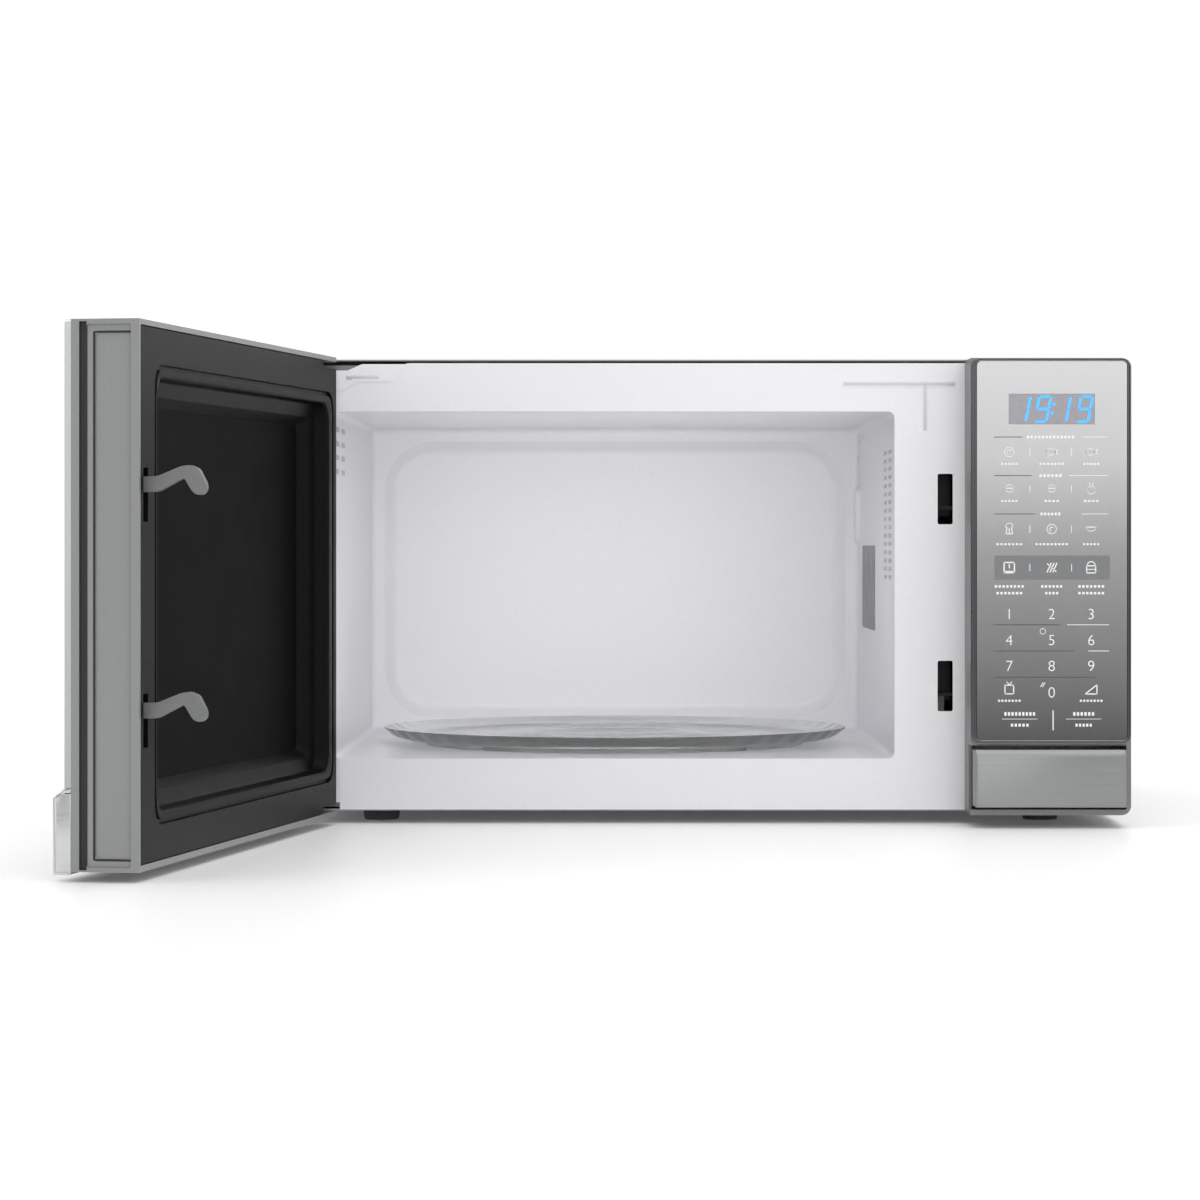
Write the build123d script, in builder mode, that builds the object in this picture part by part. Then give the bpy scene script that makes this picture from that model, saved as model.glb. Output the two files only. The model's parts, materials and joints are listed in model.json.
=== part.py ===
"""Countertop microwave oven with a side-hung door, stored with the door open.

Cabinet coordinates are used throughout: u runs right from the cabinet's left side, v runs back
from the front frame's face (so the door and the control panel have negative v), and w runs up
from the cabinet's underside. origin_u and origin_v put the row's origin on the floor in the
middle of the space that the oven takes with its door open. Door pieces are drawn closed and
turned about the hinge pins when they are written.
"""

import os
from math import cos, radians, sin

from build123d import *

os.makedirs("parts", exist_ok=True)

# driving sizes, mm
cabinet_width = 520.0
cabinet_height = 286.0
cabinet_depth = 394.0
sheet = 1.0
foot_height = 8.0
door_open_angle = 100.0
origin_u = 212.5
origin_v = -12.0

# oven cavity, inner faces
cavity_u = (20.5, 375.5)
cavity_w = (33.0, 253.0)
cavity_back_v = 362.0
back_panel_depth = 8.0
cavity_mid_u = sum(cavity_u) / 2
cavity_mid_v = 185.0
recess_radius = 128.0
recess_depth = 9.0

# front face of the oven
panel_u = (420.0, cabinet_width)
front_v = -41.5
button_w = (5.0, 41.0)
band_top = 41.0
band_v = -48.0
frame_w = (0.8, 283.6)

# door, drawn closed
door_u = (0.5, 418.5)
door_w = (-2.5, 286.5)
door_back_v = -1.0
glass_thickness = 3.5
door_front_v = front_v + glass_thickness
cover_u = (3.2, 415.4)
cover_w = (1.2, 283.4)
rim_u = (12.0, 390.0)
rim_w = (20.0, 264.0)
window_u = (40.0, 370.0)
window_w = (40.0, 244.0)

# hinge, latch and turntable
pin_u, pin_v = 8.0, -15.5
pin_radius, pin_clearance = 3.0, 0.08
upper_arm_w = (280.2, 282.2)
lower_arm_w = (2.5, 4.5)
hook_u = (404.2, 409.2)
hook_root_w = (77.5, 196.0)
latch_slot_u = (402.8, 412.4)
latch_slot_w = ((63.0, 95.0), (181.5, 213.5))
plate_radius = 157.5
plate_w = 36.0
roller_radius = 5.9
roller_w = 30.0
roller_ring_radius = 96.0

hinge_axis = Axis((pin_u - origin_u, pin_v - origin_v, 0), (0, 0, 1))


def front_plane(v):
    """A plane facing the viewer at depth v, with u and w as its own coordinates."""
    return Plane((-origin_u, v - origin_v, foot_height), x_dir=(1, 0, 0), z_dir=(0, -1, 0))


def floor_plane(w):
    """A level plane at height w, with u and v as its own coordinates."""
    return Plane((-origin_u, -origin_v, foot_height + w), x_dir=(1, 0, 0), z_dir=(0, 0, 1))


def side_plane(u):
    """An upright plane facing right at u, with v and w as its own coordinates."""
    return Plane((u - origin_u, -origin_v, foot_height), x_dir=(0, 1, 0), z_dir=(1, 0, 0))


def span(u, v, w, mode=Mode.ADD):
    """Adds or cuts a box over the ranges u, v and w."""
    centre = (sum(u) / 2 - origin_u, sum(v) / 2 - origin_v, sum(w) / 2 + foot_height)
    with Locations(centre):
        Box(u[1] - u[0], v[1] - v[0], w[1] - w[0], mode=mode)


def rounded_span(u, w, radius):
    """Draws a rounded rectangle over the two ranges in the sketch that is open."""
    with Locations((sum(u) / 2, sum(w) / 2)):
        RectangleRounded(u[1] - u[0], w[1] - w[0], radius)


def write(builder, name, swings=False):
    """Names a finished piece and writes it; a piece of the door is turned open first."""
    piece = builder.part
    if swings:
        piece = piece.rotate(hinge_axis, -door_open_angle)
    piece.label = name
    export_step(piece, f"parts/{name}.step")


# ---------------------------------------------------------------- cabinet shell

with BuildPart() as cabinet_space:
    span((sheet, cabinet_width - sheet), (0, cabinet_depth + 2), (-2, cabinet_height - sheet))
    fillet(cabinet_space.edges().filter_by(Axis.Y).group_by(Axis.Z)[-1], 4)

with BuildPart() as outer_cover:
    span((0, cabinet_width), (2, cabinet_depth), (0, cabinet_height))
    fillet(outer_cover.edges().filter_by(Axis.Y).group_by(Axis.Z)[-1], 5)
    add(cabinet_space.part, mode=Mode.SUBTRACT)
    for side in (0, cabinet_width):
        with BuildSketch(side_plane(side)) as side_vents:
            with Locations((320, 226)):
                with GridLocations(26, 8, 4, 8):
                    SlotOverall(20, 3.2)
        extrude(amount=3, both=True, mode=Mode.SUBTRACT)
write(outer_cover, "outer_cover")

with BuildPart() as base_plate:
    span((1.2, cabinet_width - 1.2), (2.2, cabinet_depth - 1.2), (0, 1.2))
    with BuildSketch(floor_plane(0)) as base_vents:
        with Locations((445, 60)):
            with GridLocations(10, 30, 10, 2):
                SlotOverall(22, 3.2, rotation=90)
        with Locations((cavity_mid_u, cavity_mid_v)):
            with GridLocations(150, 200, 2, 2):
                SlotOverall(46, 6)
    extrude(amount=5, both=True, mode=Mode.SUBTRACT)
    for rib_u in (90, 306):
        span((rib_u - 6, rib_u + 6), (30, 360), (1.2, 3.2))
write(base_plate, "base_plate")

gland_u, gland_w, gland_radius, gland_flange_radius = 490.0, 24.0, 4.2, 11.0

screw_places = [(12, 60), (12, 250), (508, 60), (508, 250), (150, 278), (370, 278)]

with BuildPart() as rear_panel:
    span((1.2, cabinet_width - 1.2), (cabinet_depth - 1, cabinet_depth), (1.3, cabinet_height - 1.2))
    fillet(rear_panel.edges().filter_by(Axis.Y).group_by(Axis.Z)[-1], 3.6)
    with BuildSketch(front_plane(cabinet_depth)) as rear_openings:
        with Locations((448, 200)):
            with GridLocations(9, 44, 11, 3):
                SlotOverall(36, 3.6, rotation=90)
        with Locations((200, 240)):
            with GridLocations(26, 9, 9, 5):
                SlotOverall(20, 3.6)
        with Locations((gland_u, gland_w)):
            Circle(8.0)
        with Locations(*screw_places):
            Circle(1.8)
    extrude(amount=4, both=True, mode=Mode.SUBTRACT)
write(rear_panel, "rear_panel")

foot_places = [(48, 40), (472, 40), (48, 356), (472, 356)]
with BuildPart() as feet:
    for foot_u, foot_v in foot_places:
        with BuildSketch(floor_plane(0)):
            with Locations((foot_u, foot_v)):
                Circle(12)
        extrude(amount=-foot_height, taper=8)
write(feet, "feet")


# ---------------------------------------------------------------- front frame and oven liner

def latch_slots(depth):
    """Cuts the two latch slots through whatever stands within depth of the frame's face."""
    for slot_w in latch_slot_w:
        with BuildSketch(front_plane(0)) as slot:
            rounded_span(latch_slot_u, slot_w, 1.2)
        extrude(slot.sketch, amount=depth, both=True, mode=Mode.SUBTRACT)


with BuildPart() as front_frame:
    span((1.2, cabinet_width - 1.2), (0, 1.2), frame_w)
    with BuildSketch(front_plane(0)) as oven_mouth:
        rounded_span(cavity_u, cavity_w, 4)
    extrude(amount=5, both=True, mode=Mode.SUBTRACT)
    latch_slots(5)
    with BuildSketch(front_plane(0)) as hinge_notch:
        with BuildLine():
            Polyline((0, 290), (0, 279), (29, 279), (38, 283), (66, 283), (69, 290), close=True)
        make_face()
    extrude(amount=5, both=True, mode=Mode.SUBTRACT)
    with BuildSketch(front_plane(0)) as pressed_ribs:
        with Locations((376, 270.5)):
            SlotOverall(67, 3.4)
        with Locations((394.6, 254)):
            SlotOverall(33, 4, rotation=90)
        with Locations((17, 268), (45, 273.4)):
            SlotOverall(23, 3)
        with Locations((30, 270.7)):
            SlotOverall(14, 3, rotation=32)
    extrude(amount=0.45)
    with BuildSketch(front_plane(0)) as lower_hinge_notch:
        with Locations((12, 2)):
            Rectangle(24, 6.6)
        with Locations((432, 15), (480, 75)):
            RectangleRounded(14, 12, 1)
    extrude(amount=5, both=True, mode=Mode.SUBTRACT)
write(front_frame, "front_frame")


def oven_shape(builder, front_v, grow):
    """Fills the oven's space, enlarged all round by grow, into the part that is open."""
    long_u = (cavity_u[0] - grow, cavity_u[1] + grow)
    span(long_u, (front_v, cavity_back_v + grow), (cavity_w[0] - grow, cavity_w[1] + grow))
    fillet(builder.edges().filter_by(Axis.Y), 4 + grow)
    fillet(builder.edges().group_by(Axis.Y)[-1], 4 + grow)
    with BuildSketch(front_plane(cavity_back_v)) as back_panel:
        with Locations((cavity_mid_u, sum(cavity_w) / 2)):
            RectangleRounded(336 + 2 * grow, 202 + 2 * grow, 36 + grow)
    extrude(back_panel.sketch, amount=-(back_panel_depth + grow), taper=42)
    fillet(builder.edges().group_by(Axis.Y)[-1], 7 + grow)
    with BuildSketch(floor_plane(cavity_w[0] + 1)) as floor_recess:
        with Locations((cavity_mid_u, cavity_mid_v)):
            Circle(recess_radius + grow)
    extrude(floor_recess.sketch, amount=-(recess_depth + grow + 1))


guide_v, guide_w = 241.5, 139.0

with BuildPart() as oven_space:
    oven_shape(oven_space, -2, 0)

with BuildPart() as oven_liner:
    oven_shape(oven_liner, 1.2, sheet)
    add(oven_space.part, mode=Mode.SUBTRACT)
    with BuildSketch(side_plane(cavity_u[1])) as right_wall_holes:
        with Locations((guide_v, guide_w)):
            RectangleRounded(114, 48, 3)
        with Locations((62, 188)):
            with GridLocations(40, 5.4, 2, 16):
                SlotOverall(30, 2.6)
        with Locations((345, 236)):
            with GridLocations(6, 6, 3, 3):
                Circle(1.8)
    extrude(amount=4, both=True, mode=Mode.SUBTRACT)
    with BuildSketch(side_plane(cavity_u[1])) as lamp_bulge:
        with Locations((343, 190)):
            RectangleRounded(28, 42, 9)
    extrude(amount=-3.6, taper=25)
    with BuildSketch(side_plane(cavity_u[0])) as left_wall_holes:
        with Locations((52, 229)):
            with GridLocations(50, 9, 2, 4):
                SlotOverall(34, 3.4)
    extrude(amount=4, both=True, mode=Mode.SUBTRACT)
    with BuildSketch(floor_plane(20)) as coupler_hole:
        with Locations((cavity_mid_u, cavity_mid_v)):
            Circle(6.5)
    extrude(amount=6, mode=Mode.SUBTRACT)
write(oven_liner, "oven_liner")

with BuildPart() as waveguide_cover:
    span((374.9, cavity_u[1]), (guide_v - 62, guide_v + 62), (guide_w - 29, guide_w + 29))
    fillet(waveguide_cover.edges().filter_by(Axis.X), 4)
write(waveguide_cover, "waveguide_cover")

with BuildPart() as waveguide:
    span((376.6, 411), (guide_v - 60, guide_v + 60), (guide_w - 27, guide_w + 27))
    span((376, 409.8), (guide_v - 58.8, guide_v + 58.8), (guide_w - 25.8, guide_w + 25.8), Mode.SUBTRACT)
    with BuildSketch(side_plane(400)) as antenna_hole:
        with Locations((guide_v, guide_w)):
            Circle(10)
    extrude(amount=20, mode=Mode.SUBTRACT)
write(waveguide, "waveguide")


# ---------------------------------------------------------------- hinge brackets

def hinge_bracket(arm_w, pin_w, plate_w_range):
    """Builds a bracket: a plate behind the frame, an arm out to the pin line, and the pin."""
    with BuildPart() as bracket:
        span((3, 58), (1.3, 3.1), plate_w_range)
        span((pin_u - 6, pin_u + 6), (pin_v, 3.1), arm_w)
        with BuildSketch(floor_plane(arm_w[0])):
            with Locations((pin_u, pin_v)):
                Circle(6)
        extrude(amount=arm_w[1] - arm_w[0])
        with BuildSketch(floor_plane(pin_w[0])):
            with Locations((pin_u, pin_v)):
                Circle(pin_radius)
        extrude(amount=pin_w[1] - pin_w[0])
    return bracket


hinge_upper = hinge_bracket(upper_arm_w, (268, 281), (256, 282.2))
write(hinge_upper, "hinge_upper")
hinge_lower = hinge_bracket(lower_arm_w, (4, 16.5), (2.5, 30))
write(hinge_lower, "hinge_lower")


# ---------------------------------------------------------------- rear fittings

with BuildPart() as cord_gland:
    with BuildSketch(front_plane(cabinet_depth)) as gland_flange:
        with Locations((gland_u, gland_w)):
            Circle(gland_flange_radius)
    extrude(amount=-4)
    fillet(cord_gland.edges().group_by(Axis.Y)[-1], 1.5)
    with BuildSketch(front_plane(cabinet_depth)) as gland_neck:
        with Locations((gland_u, gland_w)):
            Circle(7.8)
    extrude(amount=6)
    with BuildSketch(front_plane(cabinet_depth)) as gland_bore:
        with Locations((gland_u, gland_w)):
            Circle(gland_radius)
    extrude(amount=12, both=True, mode=Mode.SUBTRACT)
write(cord_gland, "cord_gland")

with BuildPart() as cabinet_screws:
    for screw_u, screw_w in screw_places:
        with BuildSketch(front_plane(cabinet_depth)):
            with Locations((screw_u, screw_w)):
                Circle(4.2)
        extrude(amount=-2.2)
        with BuildSketch(front_plane(cabinet_depth)):
            with Locations((screw_u, screw_w)):
                Circle(1.7)
        extrude(amount=7)
write(cabinet_screws, "cabinet_screws")


# ---------------------------------------------------------------- microwave generator

def across(places, radius, u_from, length, mode=Mode.ADD):
    """Adds or cuts round bars lying along u, from u_from, at the places given as (v, w)."""
    with BuildSketch(side_plane(u_from)) as bars:
        with Locations(*places):
            Circle(radius)
    extrude(bars.sketch, amount=length, mode=mode)


def upright(places, radius, w_from, length, mode=Mode.ADD):
    """Adds or cuts upright round bars from the height w_from at the places given as (u, v)."""
    with BuildSketch(floor_plane(w_from)) as bars:
        with Locations(*places):
            Circle(radius)
    extrude(bars.sketch, amount=length, mode=mode)


guide_centre = [(guide_v, guide_w)]

with BuildPart() as magnetron_yoke:
    span((412, 472), (guide_v - 44, guide_v + 44), (guide_w - 41, guide_w + 41))
    span((414, 470), (guide_v - 50, guide_v + 50), (guide_w - 39, guide_w + 39), Mode.SUBTRACT)
    across(guide_centre, 10, 408, 10, Mode.SUBTRACT)
    across(guide_centre, 8, 464, 10, Mode.SUBTRACT)
write(magnetron_yoke, "magnetron_yoke")

with BuildPart() as magnetron_anode:
    across(guide_centre, 20, 424, 34)
    across(guide_centre, 8, 389, 36)
    across(guide_centre, 6, 457, 15.2)
write(magnetron_anode, "magnetron_anode")

with BuildPart() as magnetron_magnets:
    for magnet_u in (414.2, 458.2):
        across(guide_centre, 27, magnet_u, 9.6)
        across(guide_centre, 10.5, magnet_u - 1, 12, Mode.SUBTRACT)
write(magnetron_magnets, "magnetron_magnets")

with BuildPart() as magnetron_fins:
    for fin in range(6):
        fin_u = 427.5 + 5 * fin
        span((fin_u, fin_u + 0.8), (guide_v - 40, guide_v + 40), (guide_w - 36, guide_w + 36))
    across(guide_centre, 20.05, 420, 40, Mode.SUBTRACT)
write(magnetron_fins, "magnetron_fins")

with BuildPart() as magnetron_filter_box:
    span((472.3, 496), (guide_v - 28, guide_v + 28), (guide_w - 34, guide_w + 34))
    span((478, 490), (guide_v - 42, guide_v - 27), (guide_w - 14, guide_w + 14))
    fillet(magnetron_filter_box.edges().filter_by(Axis.X), 3)
write(magnetron_filter_box, "magnetron_filter_box")

with BuildPart() as transformer_core:
    span((398, 503), (290, 345), (1.4, 87))
    span((413, 431), (280, 355), (16, 72), Mode.SUBTRACT)
    span((470, 488), (280, 355), (16, 72), Mode.SUBTRACT)
    span((392, 509), (300, 335), (1.4, 4))
write(transformer_core, "transformer_core")

with BuildPart() as transformer_windings:
    for coil_w in ((17, 42), (46, 71)):
        span((414, 487), (272, 363), coil_w)
    fillet(transformer_windings.edges().filter_by(Axis.Z), 10)
    span((430.6, 470.4), (289.6, 345.4), (10, 80), Mode.SUBTRACT)
write(transformer_windings, "transformer_windings")

with BuildPart() as capacitor:
    with BuildSketch(floor_plane(1.4)) as capacitor_can:
        with Locations((468, 225)):
            SlotOverall(54, 34)
    extrude(amount=84)
    fillet(capacitor.edges().group_by(Axis.Z)[-1], 2)
    for terminal_u in (458, 478):
        span((terminal_u - 3, terminal_u + 3), (224.6, 225.4), (85, 93))
write(capacitor, "capacitor")

with BuildPart() as diode:
    upright([(436, 258)], 3.6, 1.4, 26)
    span((431, 441), (250, 266), (1.2, 2.2))
write(diode, "diode")


# ---------------------------------------------------------------- cooling

fan_u, fan_w = 456.0, 176.0


def along(places, radius, v_from, length, mode=Mode.ADD):
    """Adds or cuts round bars lying along v, from v_from back, at the places given as (u, w)."""
    with BuildSketch(front_plane(v_from)) as bars:
        with Locations(*places):
            Circle(radius)
    extrude(bars.sketch, amount=-length, mode=mode)


with BuildPart() as fan_shroud:
    span((400, 512), (364, 392.6), (fan_w - 56, fan_w + 56))
    along([(fan_u, fan_w)], 51, 360, 40, Mode.SUBTRACT)
    span((400, 512), (361, 364), (fan_w - 9, fan_w + 9))
    along([(fan_u, fan_w)], 3.3, 355, 20, Mode.SUBTRACT)
write(fan_shroud, "fan_shroud")

with BuildPart() as fan_motor:
    span((fan_u - 26, fan_u + 26), (340, 356), (fan_w - 30, fan_w + 22))
    span((fan_u - 9, fan_u + 9), (334, 360.8), (fan_w - 9, fan_w + 9))
    span((fan_u - 14, fan_u + 14), (332, 364 - 3.2), (fan_w - 46, fan_w - 30))
    along([(fan_u, fan_w)], 3.06, 336, 30, Mode.SUBTRACT)
write(fan_motor, "fan_motor")

with BuildPart() as fan_impeller:
    along([(fan_u, fan_w)], 3, 338, 34)
    along([(fan_u, fan_w)], 13, 367, 19)
    for blade in range(5):
        turn = 72 * blade
        blade_x = fan_u - origin_u + 29 * cos(radians(turn))
        blade_z = foot_height + fan_w + 29 * sin(radians(turn))
        with Locations(Location((blade_x, 376.5 - origin_v, blade_z)) * Rot(0, -turn, 0) * Rot(34, 0, 0)):
            Box(36, 1.6, 26)
write(fan_impeller, "fan_impeller")

with BuildPart() as air_duct:
    span((376.7, 399), (20, 178), (143, 236))
    span((376, 397.4), (21.6, 180), (144.6, 234.4), Mode.SUBTRACT)
write(air_duct, "air_duct")

with BuildPart() as lamp_holder:
    span((376.7, 379.2), (328, 360), (220, 252))
    across([(345, 236)], 9, 370, 20, Mode.SUBTRACT)
    span((376.7, 404), (328, 360), (218, 220))
    span((401, 404), (334, 356), (220, 246))
write(lamp_holder, "lamp_holder")

with BuildPart() as lamp_bulb:
    across([(345, 236)], 8, 380, 13)
    fillet(lamp_bulb.edges().group_by(Axis.X)[0], 6)
    across([(345, 236)], 6, 392, 9)
write(lamp_bulb, "lamp_bulb")

with BuildPart() as cavity_thermostat:
    upright([(300, 250)], 8, 254.2, 8)
    span((288, 312), (245, 255), (254.1, 255))
write(cavity_thermostat, "cavity_thermostat")

with BuildPart() as magnetron_thermostat:
    upright([(442, 240)], 8, 180.2, 9)
    span((430, 454), (235, 245), (180.1, 181))
write(magnetron_thermostat, "magnetron_thermostat")

with BuildPart() as filter_board:
    span((405, 505), (270, 330), (262, 263.6))
    span((415, 440), (285, 310), (244, 262))
    span((455, 490), (290, 306), (246, 262))
    for post_u in (409, 501):
        span((post_u - 2, post_u + 2), (298, 302), (263.6, 284.8))
write(filter_board, "filter_board")


# ---------------------------------------------------------------- interlock and door release

lever_pivot = [(9, 50)]

with BuildPart() as interlock_bracket:
    span((414, 416.5), (1.4, 56), (62, 222))
    span((414, 416.5), (1.4, 17), (40, 62))
    span((416.5, 430), (1.4, 3.6), (62, 222))
    for root_w in hook_root_w:
        span((401.5, 414), (5, 22), (root_w - 5, root_w - 3))
    across(lever_pivot, 2, 416, 8.5)
write(interlock_bracket, "interlock_bracket")

switch_w = {"switch_lower": (68, 96), "switch_middle": (104, 132), "switch_upper": (186, 214)}
for switch_name, body_w in switch_w.items():
    with BuildPart() as switch:
        span((403.5, 413.9), (37, 53), body_w)
        fillet(switch.edges().filter_by(Axis.X), 1)
        span((406, 411), (35, 37.5), (sum(body_w) / 2 + 4, sum(body_w) / 2 + 8))
        span((405, 406), (53, 60), (body_w[0] + 4, body_w[0] + 9))
        span((405, 406), (53, 60), (body_w[1] - 9, body_w[1] - 4))
    write(switch, switch_name)

with BuildPart() as release_lever:
    across(lever_pivot, 5, 417, 6)
    span((417, 423), (6, 12), (12, 50))
    span((417, 439), (6, 12), (10, 20))
    span((417, 423), (9, 33), (53, 58))
    span((404.2, 423), (26, 33), (54, 58))
    span((404.2, 409.2), (26, 32), (57, 72))
    across(lever_pivot, 2.06, 410, 20, Mode.SUBTRACT)
write(release_lever, "release_lever")


# ---------------------------------------------------------------- control panel

fascia_u, fascia_w = (423.8, 517.2), (47.0, 282.9)
display_u, display_w = (443.7, 497.0), (243.7, 262.4)
bezel_v = front_v + 1.5

with BuildPart() as control_housing:
    span(panel_u, (bezel_v, -0.1), (0, 285))
    fillet(control_housing.edges().filter_by(Axis.Y).group_by(Axis.X)[-1], 6)
    span((422, 518), (bezel_v + 2, 2), (2, 283), Mode.SUBTRACT)
    span((419, 517), (-50, -26), (3.5, 43.5), Mode.SUBTRACT)
    span((442, 499), (-50, -30), (242, 264), Mode.SUBTRACT)
    span((421, 519), (bezel_v + 1, -2), (43.5, 45.5))
    for post_u in (430, 510):
        for post_w in (70, 228):
            span((post_u - 3, post_u + 3), (bezel_v + 1, -22), (post_w - 3, post_w + 3))
write(control_housing, "control_housing")

with BuildPart() as control_bezel:
    with BuildSketch(front_plane(bezel_v)) as bezel_ring:
        with Locations((sum(panel_u) / 2, 164.5)):
            RectangleRounded(100, 241, 5.9)
        rounded_span((fascia_u[0] - 0.2, fascia_u[1] + 0.2), (fascia_w[0] - 0.2, fascia_w[1] + 0.2), 3)
        with Locations((sum(fascia_u) / 2, sum(fascia_w) / 2)):
            RectangleRounded(93.8, 236.3, 3, mode=Mode.SUBTRACT)
    extrude(amount=1.5)
write(control_bezel, "control_bezel")

with BuildPart() as control_fascia:
    with BuildSketch(front_plane(bezel_v)) as fascia_sheet:
        rounded_span(fascia_u, fascia_w, 2.8)
        with Locations((sum(display_u) / 2, sum(display_w) / 2)):
            Rectangle(53.5, 18.9, mode=Mode.SUBTRACT)
    extrude(amount=1.4)
write(control_fascia, "control_fascia")

with BuildPart() as display_window:
    span(display_u, (front_v + 0.15, bezel_v), display_w)
write(display_window, "display_window")

with BuildPart() as display_module:
    span((443, 498), (bezel_v + 2.2, -24), (243, 263))
write(display_module, "display_module")

with BuildPart() as control_board:
    span((425, 515), (-21.9, -20.3), (60, 270))
    span((435, 470), (-20.3, -4), (180, 215))
    span((480, 505), (-20.3, -6), (190, 206))
    span((480, 505), (-20.3, -6), (160, 176))
    along([(450, 120)], 9, -20.3, 12)
write(control_board, "control_board")

with BuildPart() as open_button:
    span((422, 516.4), (band_v, -30), button_w)
    chamfer(open_button.edges().filter_by(Axis.X).group_by(Axis.Y)[0].sort_by(Axis.Z)[-1], 3)
    span((424, 514.4), (band_v + 2.5, -20), (button_w[0] + 2, button_w[1] - 4.5), Mode.SUBTRACT)
    span((428, 436), (band_v + 1, 5.3), (12, 17))
    along([(480, 20)], 2.2, band_v + 1, 26)
    along([(480, 20)], 5, band_v + 1, 22)
write(open_button, "open_button")


def coil(axis_plane, radius, wire, turns, length):
    """Winds a compression spring that rises length from the plane's origin."""
    with BuildPart() as spring:
        with BuildLine() as wound_path:
            start = axis_plane.origin + axis_plane.z_dir * (wire / 2)
            Helix((length - wire) / turns, length - wire, radius, center=start, direction=axis_plane.z_dir)
        with BuildSketch(Plane(origin=wound_path.line @ 0, z_dir=wound_path.line % 0)):
            Circle(wire / 2)
        sweep()
    return spring


button_spring_plane = Plane((480 - origin_u, -24.8 - origin_v, foot_height + 20), z_dir=(0, 1, 0))
button_spring = coil(button_spring_plane, 3.6, 0.8, 7, 24.6)
write(button_spring, "button_spring")


# ---------------------------------------------------------------- turntable

turntable_centre = [(cavity_mid_u, cavity_mid_v)]

with BuildPart() as turntable_motor:
    upright(turntable_centre, 24.5, 7, 15.6)
    span((cavity_mid_u - 30, cavity_mid_u + 30), (cavity_mid_v - 6, cavity_mid_v + 6), (21, 22.6))
    span((cavity_mid_u - 10, cavity_mid_u + 10), (cavity_mid_v + 20, cavity_mid_v + 34), (9, 19))
    upright(turntable_centre, 4.06, 8.6, 30, Mode.SUBTRACT)
write(turntable_motor, "turntable_motor")

with BuildPart() as drive_coupler:
    upright(turntable_centre, 4, 9, 17)
    upright(turntable_centre, 9, 24.8, 10.8)
    for lobe in range(3):
        lobe_turn = radians(90 + 120 * lobe)
        lobe_u = cavity_mid_u + 10 * cos(lobe_turn)
        lobe_v = cavity_mid_v + 10 * sin(lobe_turn)
        upright([(lobe_u, lobe_v)], 4.5, 24.8, 10.8)
write(drive_coupler, "drive_coupler")


def roller_plane(number, radius):
    """A plane square to roller number's axle, at the given distance from the ring's centre."""
    turn = radians(30 + 120 * number)
    outward = (cos(turn), sin(turn), 0)
    origin = (cavity_mid_u - origin_u + radius * cos(turn),
              cavity_mid_v - origin_v + radius * sin(turn), foot_height + roller_w)
    return Plane(origin, z_dir=outward)


with BuildPart() as roller_ring:
    upright(turntable_centre, 90, 27.4, 5)
    upright(turntable_centre, 83, 20, 20, Mode.SUBTRACT)
    for number in range(3):
        with BuildSketch(roller_plane(number, 86)):
            Circle(1.5)
        extrude(amount=16)
write(roller_ring, "roller_ring")

for number in range(3):
    with BuildPart() as roller:
        with BuildSketch(roller_plane(number, roller_ring_radius - 3)):
            Circle(roller_radius)
            Circle(1.56, mode=Mode.SUBTRACT)
        extrude(amount=6)
    write(roller, f"roller_{number + 1}")

turntable_plane = Plane((cavity_mid_u - origin_u, cavity_mid_v - origin_v, foot_height + plate_w),
                        x_dir=(1, 0, 0), z_dir=(0, -1, 0))
with BuildPart() as glass_plate:
    with BuildSketch(turntable_plane) as plate_section:
        with BuildLine():
            Polyline((0, 0), (138, 0), (151, 3.2), (plate_radius, 8.6), (154.6, 8.9),
                     (149, 5.6), (137, 4.5), (0, 4.5), close=True)
        make_face()
    revolve(axis=Axis(turntable_plane.origin, (0, 0, 1)))
write(glass_plate, "glass_plate")


# ---------------------------------------------------------------- door

door_screw_places = [(27, 21), (389, 21), (27, 263), (389, 263)]

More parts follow.
